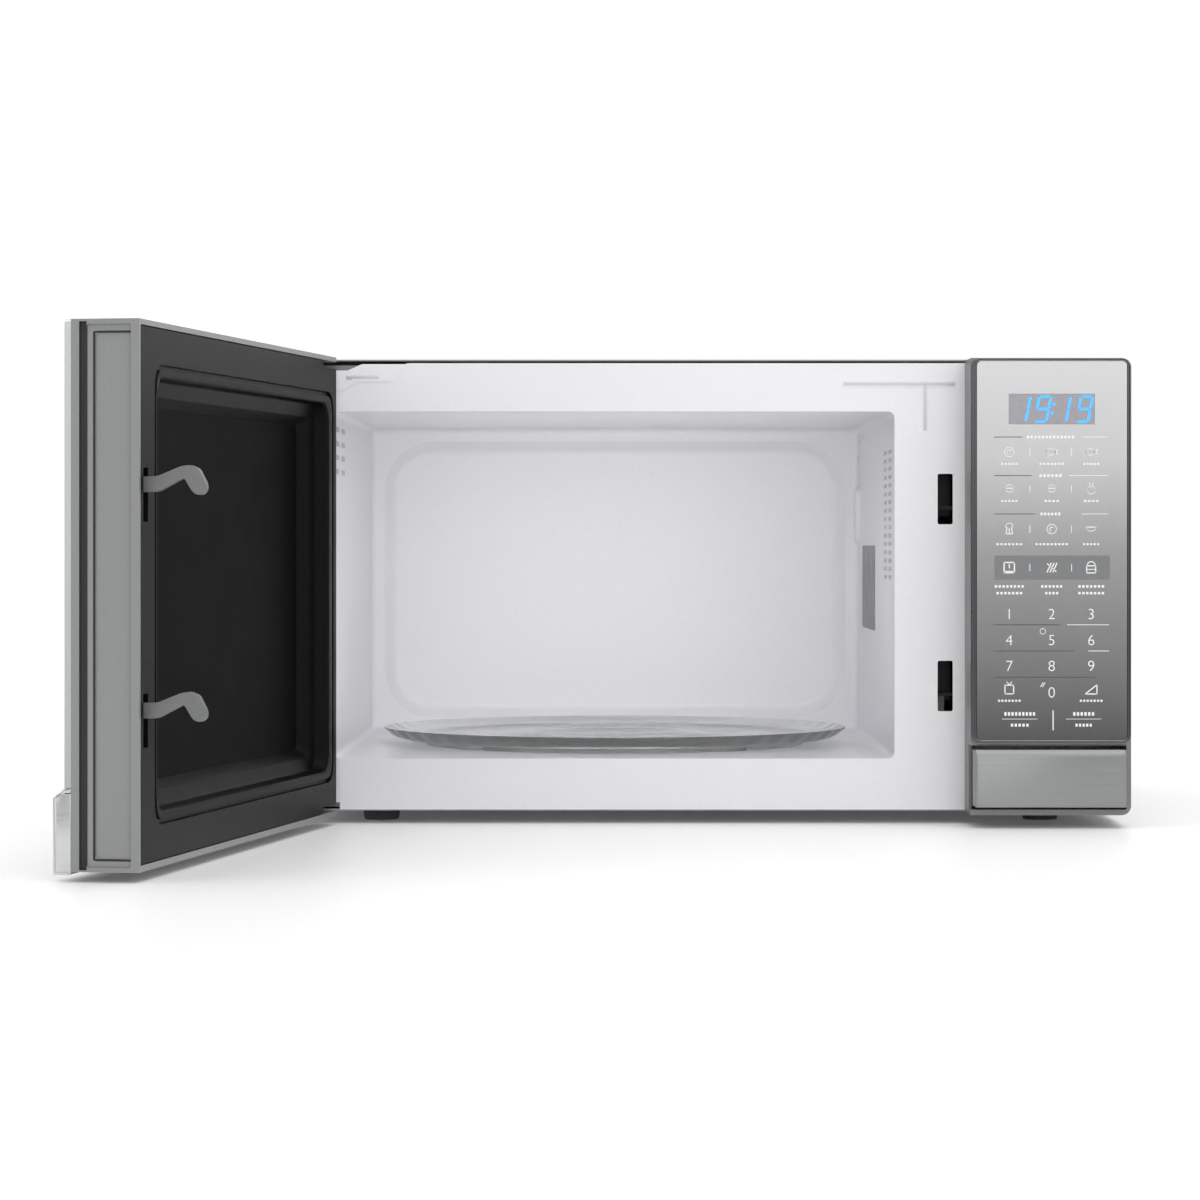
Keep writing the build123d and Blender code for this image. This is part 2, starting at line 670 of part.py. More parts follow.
with BuildPart() as door_frame:
    span(door_u, (door_front_v, door_back_v), door_w)
    span((3, 415.6), (door_front_v + 2, 2), (1, 283.6), Mode.SUBTRACT)
    span((30, 385), (-50, -30), (48, 256), Mode.SUBTRACT)
    for boss_w in ((266, 279.4), (5.4, 18)):
        span((2, 17), (-25, -4.4), boss_w)
    span((-2, 16.5), (-26, 3), (279.4, 283.6), Mode.SUBTRACT)
    span((-2, 16.5), (-26, 3), (1, 5.4), Mode.SUBTRACT)
    upright([(pin_u, pin_v)], pin_radius + pin_clearance, 266.9, 20, Mode.SUBTRACT)
    upright([(pin_u, pin_v)], pin_radius + pin_clearance, -1, 18, Mode.SUBTRACT)
    with BuildSketch(side_plane(door_u[1])) as end_relief:
        rounded_span((-29.4, -5.4), (0, 283.8), 1)
    extrude(amount=-1.4, mode=Mode.SUBTRACT)
    with BuildSketch(side_plane(door_u[1] - 0.5)) as end_pad:
        rounded_span((-25.0, -5.4), (4.5, 279), 2)
    extrude(end_pad.sketch, amount=-1.1)
    with BuildSketch(side_plane(door_u[1])) as end_channel:
        rounded_span((-33.6, -29.4), (-1.5, 285.2), 0.5)
    extrude(amount=-1.6, mode=Mode.SUBTRACT)
    with BuildSketch(floor_plane(-10)) as swing_chamfer:
        with BuildLine():
            Polyline((-1, 1), (-1, -5.2), (0.4, -5.2), (4.6, -1), (4.6, 1), close=True)
        make_face()
    extrude(amount=310, mode=Mode.SUBTRACT)
    for screw_u, screw_w in door_screw_places:
        span((screw_u - 4, screw_u + 4), (door_front_v + 1, -20.9), (screw_w - 4, screw_w + 4))
    span((401, 411), (door_front_v + 1, -12.9), (110, 180))
    span((399.4, 400.8), (-16, -5), (110, 180))
    span((399.4, 403), (-16, -12.9), (110, 180))
    span((401, 415.8), (-14, -5), (37, 40.6))
write(door_frame, "door_frame", swings=True)

with BuildPart() as door_glass:
    span(door_u, (front_v, door_front_v), (band_top + 0.2, door_w[1]))
    fillet(door_glass.edges().filter_by(Axis.Y).group_by(Axis.Z)[-1], 3)
write(door_glass, "door_glass", swings=True)

with BuildPart() as door_band:
    with BuildSketch(side_plane(door_u[0])) as band_section:
        with BuildLine():
            Polyline((door_front_v - 0.1, -4), (band_v, -4), (band_v, 36.5), (front_v - 0.5, band_top),
                     (door_front_v - 0.1, band_top), close=True)
        make_face()
    extrude(amount=door_u[1] - door_u[0])
    span((3, 416), (band_v + 2, -30), (-2, 34), Mode.SUBTRACT)
write(door_band, "door_band", swings=True)

with BuildPart() as door_inner_panel:
    span((18, 398), (-20.8, -8), (12, 272))
    fillet(door_inner_panel.edges().filter_by(Axis.Y), 6)
    span((18.8, 397.2), (-20, -6), (12.8, 271.2), Mode.SUBTRACT)
    along([(u, w) for u, w in door_screw_places], 1.8, -22, 5, Mode.SUBTRACT)
write(door_inner_panel, "door_inner_panel", swings=True)

with BuildPart() as door_screws:
    along([(u, w) for u, w in door_screw_places], 3.4, -19.9, 2.4)
    along([(u, w) for u, w in door_screw_places], 1.7, -20.85, 1)
write(door_screws, "door_screws", swings=True)

with BuildPart() as door_window_sheet:
    span((35, 375), (-19.8, -18.2), (35, 249))
    fillet(door_window_sheet.edges().filter_by(Axis.Y), 6)
write(door_window_sheet, "door_window_sheet", swings=True)


def funnel(grow, front, back, mode):
    """Lofts the sloping walls that lead from the cover's rim back to the window."""
    sections = []
    for depth, inset in ((front, 0), (back, 16)):
        with BuildSketch(front_plane(depth)) as section:
            with Locations((sum(window_u) / 2, sum(window_w) / 2)):
                rim_width = window_u[1] - window_u[0] + 34 - 2 * inset + 2 * grow
                rim_height = window_w[1] - window_w[0] + 30 - 2 * inset + 2 * grow
                RectangleRounded(rim_width, rim_height, 14 - inset / 4)
        sections.append(section.sketch)
    loft(sections, mode=mode)


with BuildPart() as choke_cover:
    span(cover_u, (-4, door_back_v), cover_w)
    with BuildSketch(front_plane(door_back_v)) as rim_groove:
        rounded_span(rim_u, rim_w, 10)
        with Locations((sum(rim_u) / 2, sum(rim_w) / 2)):
            RectangleRounded(rim_u[1] - rim_u[0] - 5, rim_w[1] - rim_w[0] - 5, 8, mode=Mode.SUBTRACT)
    extrude(amount=1.8, mode=Mode.SUBTRACT)
    funnel(2, -3, -18, Mode.ADD)
    funnel(0, -0.9, -18.1, Mode.SUBTRACT)
    for root_w in hook_root_w:
        span((402.6, 410.8), (-8, 2), (root_w - 15.5, root_w + 13), Mode.SUBTRACT)
    for notch_w in ((279, 284), (1, 5.5)):
        span((2, 38), (-8, 2), notch_w, Mode.SUBTRACT)
    with BuildSketch(floor_plane(-10)) as cover_chamfer:
        with BuildLine():
            Polyline((2, 1), (2, -4.4), (4.6, -1), (4.6, 1), close=True)
        make_face()
    extrude(amount=310, mode=Mode.SUBTRACT)
write(choke_cover, "choke_cover", swings=True)

with BuildPart() as latch_hooks:
    span((401.4, 411.4), (-12, -6.5), (66, 222))
    for root_w in hook_root_w:
        with BuildSketch(side_plane(hook_u[0])) as hook_profile:
            with BuildLine():
                Polyline((-8, root_w), (6, root_w), (20.6, root_w + 7.5), (25.3, root_w - 0.3),
                         (27.4, root_w - 1.5), (30.5, root_w - 1.5), (32.6, root_w + 1), (32.4, root_w + 4.5),
                         (28, root_w + 12.6), (23.5, root_w + 14.4), (19, root_w + 14), (6, root_w + 8.4),
                         (-8, root_w + 8), close=True)
            make_face()
        extrude(amount=hook_u[1] - hook_u[0])
write(latch_hooks, "latch_hooks", swings=True)

hook_spring_plane = Plane((406.4 - origin_u, -9.2 - origin_v, foot_height + 40.8), z_dir=(0, 0, 1))
hook_spring = coil(hook_spring_plane, 3.2, 0.8, 7, 25)
write(hook_spring, "hook_spring", swings=True)
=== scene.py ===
"""Countertop microwave oven with its door open: finished pieces, finishes, stage and camera."""

import json
from math import cos, pi, radians, sin

import bmesh
import bpy
from bpy.props import FloatProperty, FloatVectorProperty, IntProperty, PointerProperty
from mathutils import Matrix, Vector


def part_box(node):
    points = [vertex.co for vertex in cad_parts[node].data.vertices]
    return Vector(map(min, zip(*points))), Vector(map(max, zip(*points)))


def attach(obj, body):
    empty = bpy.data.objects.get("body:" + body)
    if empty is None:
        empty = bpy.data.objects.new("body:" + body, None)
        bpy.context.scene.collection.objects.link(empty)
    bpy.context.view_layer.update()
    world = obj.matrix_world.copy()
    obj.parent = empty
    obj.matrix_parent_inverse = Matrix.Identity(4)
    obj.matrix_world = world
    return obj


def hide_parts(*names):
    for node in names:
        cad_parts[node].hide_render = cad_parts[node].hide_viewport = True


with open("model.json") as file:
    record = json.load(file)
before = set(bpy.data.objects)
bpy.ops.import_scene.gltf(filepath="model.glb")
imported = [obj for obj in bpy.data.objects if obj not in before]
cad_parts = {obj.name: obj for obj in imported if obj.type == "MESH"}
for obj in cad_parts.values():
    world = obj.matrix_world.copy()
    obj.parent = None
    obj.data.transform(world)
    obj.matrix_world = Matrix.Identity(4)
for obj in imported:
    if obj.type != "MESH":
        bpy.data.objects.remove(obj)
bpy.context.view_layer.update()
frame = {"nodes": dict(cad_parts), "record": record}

bl_info = {
    "name": "Microwave Oven Finisher",
    "version": (1, 0, 0),
    "blender": (4, 5, 0),
    "location": "3D View > Sidebar > Microwave",
    "description": "Models the finished pieces of a countertop microwave oven and sets its stage",
    "category": "Object",
}

MM = 0.001
SHEET = 1.2
FOOT_HEIGHT = 8
case_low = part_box("outer_cover")[0]
face_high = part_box("front_frame")[1]
CABINET = Vector((case_low[0], face_high[1] - SHEET * MM, case_low[2]))
FLOOR = CABINET.z - FOOT_HEIGHT * MM
HOOK_ROOTS = (77.5, 196.0)
PLATE_CENTRE = (198, 185)


def spot(u, v, w):
    """A point in the frame from cabinet millimetres: right, back and up from its lower left."""
    return CABINET + Vector((u, v, w)) * MM


def tone(red, green, blue):
    """A linear colour from ordinary 0 to 255 values."""
    return tuple(((c / 255 + 0.055) / 1.055) ** 2.4 if c > 10 else c / 255 / 12.92
                 for c in (red, green, blue)) + (1.0,)


# ---------------- settings


class MicrowaveDoorSettings(bpy.types.PropertyGroup):
    """Sizes of the door's pieces."""
    opening: FloatProperty(
        name="Opening", description="Angle at which the door is stored",
        default=radians(100), subtype="ANGLE")
    pin_across: FloatProperty(
        name="Pin Across", description="Hinge pin's distance from the cabinet's left side, mm",
        default=8.0)
    pin_forward: FloatProperty(
        name="Pin Forward", description="Hinge pin's distance in front of the oven's face, mm",
        default=15.5)
    rim_radius: FloatProperty(
        name="Rim Radius", description="Corner radius of the cover's raised rim, mm",
        default=12.0, min=8.0)
    hook_thickness: FloatProperty(
        name="Hook Thickness", description="Thickness of each latch hook, mm", default=5.0, min=2.0)


class MicrowavePanelSettings(bpy.types.PropertyGroup):
    """Sizes and colours of the control panel's pieces."""
    number_height: FloatProperty(
        name="Number Height", description="Letter size of the keypad's numbers, mm",
        default=9.6, min=3.0)
    digit_height: FloatProperty(
        name="Digit Height", description="Height of the clock's digits, mm", default=15.6, min=5.0)
    digit_slant: FloatProperty(
        name="Digit Slant", description="How far the clock's digits lean", default=0.19)
    ink: FloatVectorProperty(
        name="Ink", description="Colour of the keypad's marks", subtype="COLOR", size=4,
        default=tone(244, 244, 244))
    glow: FloatVectorProperty(
        name="Glow", description="Colour of the clock's digits", subtype="COLOR", size=4,
        default=tone(66, 158, 248))


class MicrowaveTurntableSettings(bpy.types.PropertyGroup):
    """Sizes of the turning glass plate."""
    plate_radius: FloatProperty(
        name="Plate Radius", description="Outer radius of the glass plate, mm", default=157.5)
    plate_steps: IntProperty(
        name="Plate Steps", description="Facets round the glass plate", default=288, min=32)
    flutes: IntProperty(
        name="Flutes", description="Number of flutes round the glass rim", default=48, min=0)
    flute_depth: FloatProperty(
        name="Flute Depth", description="Depth of the flutes in the glass rim, mm",
        default=1.0, min=0.0)


class MicrowaveStageSettings(bpy.types.PropertyGroup):
    """Camera, light and floor."""
    lens: FloatProperty(name="Lens", description="Focal length of the camera, mm", default=111.97)
    distance: FloatProperty(
        name="Distance", description="Camera's distance in front of the oven's face, mm",
        default=2365.4)
    daylight: FloatProperty(
        name="Daylight", description="Strength of the light from all round", default=0.6, min=0.0)
    inside_light: FloatProperty(
        name="Inside Light", description="Power of the soft light that fills the oven, W",
        default=0.22, min=0.0)
    paper: FloatVectorProperty(
        name="Paper", description="Colour of the studio floor", subtype="COLOR", size=4,
        default=tone(250, 250, 250))


# ---------------- finishes


def link_ramp(nodes, links, source, colours):
    """A colour ramp between two colours, fed by source and linked to the shader's colour."""
    ramp = nodes.new("ShaderNodeValToRGB")
    for stop, colour in zip(ramp.color_ramp.elements, colours):
        stop.color = colour
    links.new(source, ramp.inputs["Fac"])
    links.new(ramp.outputs["Color"], nodes["Principled BSDF"].inputs["Base Color"])
    return ramp.color_ramp.elements


def map_range(nodes, links, source, span, reach=(0.0, 1.0)):
    """The output of a node that maps source from span to reach."""
    node = nodes.new("ShaderNodeMapRange")
    for name, value in zip(("From Min", "From Max", "To Min", "To Max"), (*span, *reach)):
        node.inputs[name].default_value = value
    links.new(source, node.inputs["Value"])
    return node.outputs["Result"]


def finish(name, colour, rough=0.4, metal=0.0, mottle=0.05, grain=180.0, stretch=(1, 1, 1),
           bump=0.05, coat=0.0, spread=0.06, clear=0.0, sheen=0.5):
    """A finish whose colour, gloss and surface vary with a fine grain across the piece."""
    made = bpy.data.materials.get("finish_" + name)
    if made:
        return made
    made = bpy.data.materials.new("finish_" + name)
    made.use_nodes = True
    nodes, links = made.node_tree.nodes, made.node_tree.links
    shader = nodes["Principled BSDF"]
    shader.inputs["Metallic"].default_value = metal
    shader.inputs["Coat Weight"].default_value = coat
    shader.inputs["Coat Roughness"].default_value = 0.12
    shader.inputs["Transmission Weight"].default_value = clear
    shader.inputs["Specular IOR Level"].default_value = sheen
    place = nodes.new("ShaderNodeTexCoord")
    place.name = "Place"
    turn = nodes.new("ShaderNodeMapping")
    turn.inputs["Scale"].default_value = stretch
    links.new(place.outputs["Object"], turn.inputs["Vector"])
    fine = nodes.new("ShaderNodeTexNoise")
    fine.name = "Grain"
    fine.inputs["Scale"].default_value = grain
    fine.inputs["Detail"].default_value = 4.0
    links.new(turn.outputs["Vector"], fine.inputs["Vector"])
    stops = link_ramp(nodes, links, fine.outputs["Fac"],
                      ([c * (1 - mottle) for c in colour[:3]] + [1],
                       [min(1.0, c * (1 + mottle)) for c in colour[:3]] + [1]))
    stops[0].position, stops[1].position = 0.3, 0.7
    gloss = map_range(nodes, links, fine.outputs["Fac"], (0, 1),
                      (max(0.0, rough - spread), min(1.0, rough + spread)))
    links.new(gloss, shader.inputs["Roughness"])
    relief = nodes.new("ShaderNodeBump")
    relief.name = "Relief"
    relief.inputs["Strength"].default_value = bump
    relief.inputs["Distance"].default_value = 0.0003
    links.new(fine.outputs["Fac"], relief.inputs["Height"])
    links.new(relief.outputs["Normal"], shader.inputs["Normal"])
    return made


def banded(name, colour, dark, axis, pitch, rough=0.4, metal=0.0, bump=0.4):
    """A finish with fine parallel bands across axis, such as laminations or wound wire."""
    made = finish(name, colour, rough=rough, metal=metal)
    nodes, links = made.node_tree.nodes, made.node_tree.links
    bands = nodes.new("ShaderNodeTexWave")
    bands.bands_direction = axis
    bands.inputs["Scale"].default_value = 0.314 / (pitch * MM)
    bands.inputs["Distortion"].default_value = 0.3
    links.new(nodes["Place"].outputs["Object"], bands.inputs["Vector"])
    link_ramp(nodes, links, bands.outputs["Fac"], (dark, colour))
    relief = nodes["Relief"]
    relief.inputs["Strength"].default_value = bump
    links.new(bands.outputs["Fac"], relief.inputs["Height"])
    return made


def painted_reflection_metal(name, reflection_tints, low, high, rough):
    """A satin mirror finish with fine upright brushing and a painted reflection: its colour runs
    from the darkest tint at its lower end to the lightest at its upper end.
    """
    made = finish(name, reflection_tints[-1][1], rough=rough, metal=0.4, grain=900, stretch=(1, 1, 0.02),
                  bump=0.02)
    nodes, links = made.node_tree.nodes, made.node_tree.links
    split = nodes.new("ShaderNodeSeparateXYZ")
    links.new(nodes["Place"].outputs["Object"], split.inputs["Vector"])
    # painted reflection: the colour climbs from the darkest tint at low to the lightest at high
    rise = map_range(nodes, links, split.outputs["Z"], (low, high))
    streak = nodes.new("ShaderNodeMath")
    streak.operation = "MULTIPLY_ADD"
    streak.inputs[1].default_value = 0.03
    links.new(nodes["Grain"].outputs["Fac"], streak.inputs[0])
    links.new(rise, streak.inputs[2])
    stops = link_ramp(nodes, links, streak.outputs["Value"], (reflection_tints[0][1], reflection_tints[-1][1]))
    for place, reflection_tint in reflection_tints[1:-1]:
        stops.new(place).color = reflection_tint
    return made


def perforated(name, colour, pitch):
    """A dark painted sheet with rows of small round holes, drawn as pits."""
    made = finish(name, colour, rough=0.35)
    nodes, links = made.node_tree.nodes, made.node_tree.links
    holes = nodes.new("ShaderNodeTexVoronoi")
    holes.inputs["Scale"].default_value = 1 / (pitch * MM)
    holes.inputs["Randomness"].default_value = 0.0
    links.new(nodes["Place"].outputs["Object"], holes.inputs["Vector"])
    edge = map_range(nodes, links, holes.outputs["Distance"], (0.25, 0.35))
    links.new(edge, nodes["Relief"].inputs["Height"])
    nodes["Relief"].inputs["Strength"].default_value = 0.8
    return made


def glowing(name, colour, strength):
    """A lit finish with a faint grain."""
    made = finish(name, colour, rough=0.4, mottle=0.03)
    shader = made.node_tree.nodes["Principled BSDF"]
    shader.inputs["Emission Color"].default_value = colour
    shader.inputs["Emission Strength"].default_value = strength
    return made


def lit_backdrop(name, colour, strength):
    """Plain paper that glows faintly far behind the piece and not at all close to it."""
    made = glowing(name, colour, strength)
    nodes, links = made.node_tree.nodes, made.node_tree.links
    split = nodes.new("ShaderNodeSeparateXYZ")
    links.new(nodes["Place"].outputs["Object"], split.inputs["Vector"])
    reach = map_range(nodes, links, split.outputs["Y"], (0.7, 2.6), (strength / 6, strength))
    links.new(reach, nodes["Principled BSDF"].inputs["Emission Strength"])
    return made


FINISHES = {
    "cabinet_paint": lambda name: finish(name, tone(150, 152, 154), 0.38, 0.35, grain=900),
    "oven_enamel": lambda name: finish(
        name, tone(236, 236, 239), 0.3, mottle=0.015, grain=700, bump=0.04, coat=0.25),
    "galvanised": lambda name: finish(name, tone(168, 171, 174), 0.42, 0.9, 0.16, 90),
    "foot_rubber": lambda name: finish(name, tone(84, 84, 86), 0.75, grain=600, bump=0.3),
    "bracket_steel": lambda name: finish(
        name, tone(120, 122, 124), 0.35, 0.95, 0.12, 300, (1, 1, 8)),
    "black_plastic": lambda name: finish(name, tone(26, 26, 27), 0.5, grain=800, bump=0.25),
    "white_plastic": lambda name: finish(name, tone(214, 213, 206), 0.5, grain=500, bump=0.15),
    "mica": lambda name: finish(name, tone(150, 149, 150), 0.55, 0.0, 0.22, 60, bump=0.2),
    "copper": lambda name: finish(name, tone(196, 128, 92), 0.28, 1.0, 0.1, 200),
    "ferrite": lambda name: finish(name, tone(52, 53, 56), 0.6, 0.2, 0.2, 500, bump=0.4),
    "fin_aluminium": lambda name: finish(
        name, tone(205, 207, 210), 0.3, 1.0, 0.08, 250, (1, 12, 1)),
    "can_aluminium": lambda name: finish(
        name, tone(196, 198, 201), 0.3, 1.0, 0.08, 250, (1, 1, 12)),
    "lamination_steel": lambda name: banded(
        name, tone(92, 94, 99), tone(40, 41, 44), "Y", 1.0, 0.5, 0.7),
    "winding_copper": lambda name: banded(
        name, tone(188, 108, 58), tone(92, 44, 22), "Z", 1.2, 0.3, 0.8),
    "lamp_glass": lambda name: finish(name, tone(250, 246, 232), 0.06, clear=0.7, grain=60),
    "ceramic_body": lambda name: finish(name, tone(120, 92, 78), 0.5, grain=400, bump=0.2),
    "circuit_board": lambda name: finish(name, tone(38, 96, 58), 0.35, 0.0, 0.25, 260),
    "switch_black": lambda name: finish(name, tone(30, 30, 33), 0.45, grain=700, bump=0.2),
    "panel_grey": lambda name: finish(name, tone(120, 121, 121), 0.36, 0.25, grain=700),
    "silver_trim": lambda name: finish(
        name, tone(206, 207, 208), 0.22, 0.85, 0.03, 800, (0.03, 1, 1), bump=0.03),
    "surround_silver": lambda name: finish(name, tone(84, 85, 86), 0.2, 0.9, 0.03, 700, bump=0.03),
    # painted highlight: a light copy of the surround's silver for the bright lines along its edges
    "painted_highlight_silver": lambda name: finish(name, tone(206, 207, 208), 0.3, 0.2, 0.02, 700),
    # painted shade: a darker copy of the oven enamel, so the ribs read by their shade
    "rib_enamel_painted_shade": lambda name: finish(
        name, tone(206, 206, 209), 0.3, mottle=0.015, grain=700, coat=0.25),
    "button_silver": lambda name: finish(
        name, tone(144, 145, 145), 0.34, 0.45, 0.04, 900, (0.03, 1, 1), bump=0.03),
    # painted reflection: the fascia's colour runs from dark at its foot to light at its top
    "mirror_fascia": lambda name: painted_reflection_metal(
        name,
        ((0, tone(74, 74, 75)), (0.24, tone(117, 117, 118)), (0.51, tone(145, 145, 146)),
         (0.76, tone(183, 183, 184)), (1, tone(192, 192, 193))),
        CABINET.z + 0.047, CABINET.z + 0.283, 0.24),
    "display_lens": lambda name: finish(name, tone(150, 150, 155), 0.2, 0.1, 0.05, 300),
    "display_case": lambda name: finish(name, tone(60, 64, 74), 0.5, grain=500),
    "spring_steel": lambda name: finish(name, tone(176, 177, 180), 0.25, 1.0, 0.06, 400),
    "clear_glass": lambda name: finish(
        name, tone(252, 254, 253), 0.02, 0.0, 0.01, 60, spread=0.02, clear=0.93),
    "door_grey": lambda name: finish(name, tone(140, 141, 141), 0.4, 0.15, 0.03, 700),
    # painted reflection: the door glass's colour runs darker towards its foot
    "dark_mirror_glass": lambda name: painted_reflection_metal(
        name, ((0, tone(176, 178, 180)), (0.5, tone(206, 208, 210)), (1, tone(216, 218, 220))),
        CABINET.z + 0.041, CABINET.z + 0.2865, 0.1),
    "screen_steel": lambda name: perforated(name, tone(24, 24, 25), 2.2),
    "window_film": lambda name: finish(
        name, tone(16, 16, 17), 0.5, mottle=0.1, grain=40, sheen=0.02),
    "cover_black": lambda name: finish(
        name, tone(12, 12, 12), 0.42, mottle=0.06, grain=900, bump=0.12, sheen=0.1),
    # painted shade: near-black for the shadow in the door end's channels
    "channel_painted_shade": lambda name: finish(name, tone(26, 26, 27), 0.5, grain=500, bump=0.2),
    # painted light: light grey filling the vent slots, which would read as shade
    "vent_screen_painted_light": lambda name: finish(name, tone(186, 187, 190), 0.5, 0.1, 0.1, 900, bump=0.3),
    # painted shade: near-black for the shade seen through the latch slots
    "slot_painted_shade": lambda name: finish(name, tone(8, 8, 8), 0.7, grain=500),
    "hook_grey": lambda name: finish(
        name, tone(112, 113, 113), 0.42, mottle=0.05, grain=600, bump=0.2),
    "ink_light": lambda name: finish(
        name, tuple(bpy.context.scene.microwave_panel.ink), 0.45, mottle=0.02),
    "ink_dark": lambda name: finish(name, tone(74, 75, 76), 0.4, 0.3),
    "keypad_band": lambda name: finish(name, tone(118, 119, 120), 0.3, 0.3, 0.03, 600),
    "clock_glow": lambda name: glowing(name, tuple(bpy.context.scene.microwave_panel.glow), 0.75),
    "studio_paper": lambda name: lit_backdrop(
        name, tuple(bpy.context.scene.microwave_stage.paper), 0.32),
}


# ---------------- modelling


def swing(mesh):
    """Turns a mesh drawn on the shut door to where the door stands open."""
    door = bpy.context.scene.microwave_door
    pin = Matrix.Translation(spot(door.pin_across, -door.pin_forward, 0))
    turn = pin @ Matrix.Rotation(-door.opening, 4, "Z") @ pin.inverted()
    bmesh.ops.transform(mesh, matrix=turn, verts=mesh.verts)


def link_object(name, data):
    """A linked object, at the origin, that holds data."""
    made = bpy.data.objects.new(name, data)
    bpy.context.scene.collection.objects.link(made)
    return made


def mesh_data(name, mesh):
    """The mesh data of a finished bmesh, which is freed."""
    data = bpy.data.meshes.new(name)
    mesh.to_mesh(data)
    mesh.free()
    return data


def absorb(mesh, part):
    """Adds a separately made bmesh to mesh."""
    data = mesh_data("part", part)
    mesh.from_mesh(data)
    bpy.data.meshes.remove(data)


def soften(mesh, geom, offset, segments, affect="EDGES", clamp=True):
    """Bevels edges or corners by offset millimetres."""
    bmesh.ops.bevel(mesh, geom=geom, offset=offset * MM, segments=segments, profile=0.5,
                    affect=affect, material=-1, clamp_overlap=clamp)


def moved_verts(made):
    """The new corners that an extrusion made."""
    return [item for item in made["geom"] if isinstance(item, bmesh.types.BMVert)]


def keep_piece(mesh, name, look, body, stands_for=(), swings=False, sharp=30):
    """Turns a finished bmesh into a piece that rides on its body, in the right finish."""
    bmesh.ops.remove_doubles(mesh, verts=mesh.verts, dist=5e-6)
    bmesh.ops.recalc_face_normals(mesh, faces=mesh.faces)
    if swings:
        swing(mesh)
    data = mesh_data(name, mesh)
    data.shade_smooth()
    data.set_sharp_from_angle(angle=radians(sharp))
    piece = link_object(name, data)
    data.materials.append(FINISHES[look](look))
    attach(piece, body)
    if stands_for:
        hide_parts(*stands_for)
    return piece


def block(mesh, u, v, w, bevel=0.4, segments=2):
    """A box over the three ranges with its edges rounded."""
    middle = spot(sum(u) / 2, sum(v) / 2, sum(w) / 2)
    size = Vector((u[1] - u[0], v[1] - v[0], w[1] - w[0])) * MM
    matrix = Matrix.Translation(middle) @ Matrix.Diagonal(size.to_4d())
    matrix[3][3] = 1.0
    made = bmesh.ops.create_cube(mesh, size=1.0, matrix=matrix)
    edges = list({edge for vert in made["verts"] for edge in vert.link_edges})
    if bevel:
        soften(mesh, edges, bevel, segments)


def rounded_loop(mesh, points, radius, segments):
    """The edges of a flat loop through four points, with its corners rounded."""
    old_edges, old_faces = set(mesh.edges), set(mesh.faces)
    corners = [mesh.verts.new(point) for point in points]
    mesh.faces.new(corners)
    soften(mesh, corners, radius, segments, "VERTICES", clamp=False)
    faces = [face for face in mesh.faces if face not in old_faces]
    bmesh.ops.delete(mesh, geom=faces, context="FACES_ONLY")
    return [edge for edge in mesh.edges if edge not in old_edges]


def ring(mesh, u, w, radius, v):
    """The edges of an upright rounded rectangle that faces the front at depth v."""
    points = [spot(x, v, z) for x, z in zip((*u, *u[::-1]), (w[0], w[0], w[1], w[1]))]
    return rounded_loop(mesh, points, radius, 6)


def level_ring(mesh, u, v, radius, w):
    """The edges of a level rounded rectangle at the height w."""
    points = [spot(x, y, w) for x, y in zip((*u, *u[::-1]), (v[0], v[0], v[1], v[1]))]
    return rounded_loop(mesh, points, radius, 5)


def bridge(mesh, rings, closed=False):
    """Skins a list of rings one after another, and joins the last to the first if closed."""
    pairs = list(zip(rings, rings[1:]))
    if closed:
        pairs.append((rings[-1], rings[0]))
    for first, second in pairs:
        bmesh.ops.bridge_loops(mesh, edges=first + second)


def extrude_outline(mesh, points, move, bevel=0.0, rounded=(), round_by=0.0):
    """Extrudes a closed outline of points by move, after rounding the chosen corners."""
    others = set(mesh.faces)
    verts = [mesh.verts.new(point) for point in points]
    mesh.faces.new(verts)
    if rounded:
        soften(mesh, [verts[number] for number in rounded], round_by, 4, "VERTICES")
    face = next(face for face in mesh.faces if face not in others)
    made = bmesh.ops.extrude_face_region(mesh, geom=[face], use_keep_orig=True)
    bmesh.ops.translate(mesh, vec=move, verts=moved_verts(made))
    if bevel:
        bmesh.ops.recalc_face_normals(mesh, faces=mesh.faces)
        rims = [edge for edge in mesh.edges if edge.is_manifold
                and edge.calc_face_angle(0) > radians(50)]
        soften(mesh, rims, bevel, 2)


def turned(mesh, centre, axis, profile, steps):
    """Spins a profile of (radius, rise) points into a round solid about axis."""
    side = Vector((0, 0, 1)) if abs(axis.z) < 0.5 else Vector((1, 0, 0))
    verts = [mesh.verts.new(centre + side * radius * MM + axis * rise * MM)
             for radius, rise in profile]
    edges = [mesh.edges.new(pair) for pair in zip(verts, verts[1:])]
    bmesh.ops.spin(mesh, geom=verts + edges, cent=centre, axis=axis, dvec=(0, 0, 0),
                   angle=2 * pi, steps=steps, use_merge=True)


def carve(piece, cutter_mesh):
    """Cuts the shapes in cutter_mesh out of a piece."""
    cutter = link_object("cutter", mesh_data("cutter", cutter_mesh))
    cut = piece.modifiers.new("cut", "BOOLEAN")
    cut.object = cutter
    cut.solver = "EXACT"
    graph = bpy.context.evaluated_depsgraph_get()
    carved = bpy.data.meshes.new_from_object(piece.evaluated_get(graph))
    piece.modifiers.clear()
    old = piece.data
    piece.data = carved
    bpy.data.meshes.remove(old)
    bpy.data.objects.remove(cutter)
    carved.name = piece.name


# ---------------- door


def inset(spans, by_u, by_w=None):
    """A pair of ranges, across and up, with both ends of each moved in."""
    by_w = by_u if by_w is None else by_w
    return tuple((low + by, high - by) for (low, high), by in zip(spans, (by_u, by_w)))


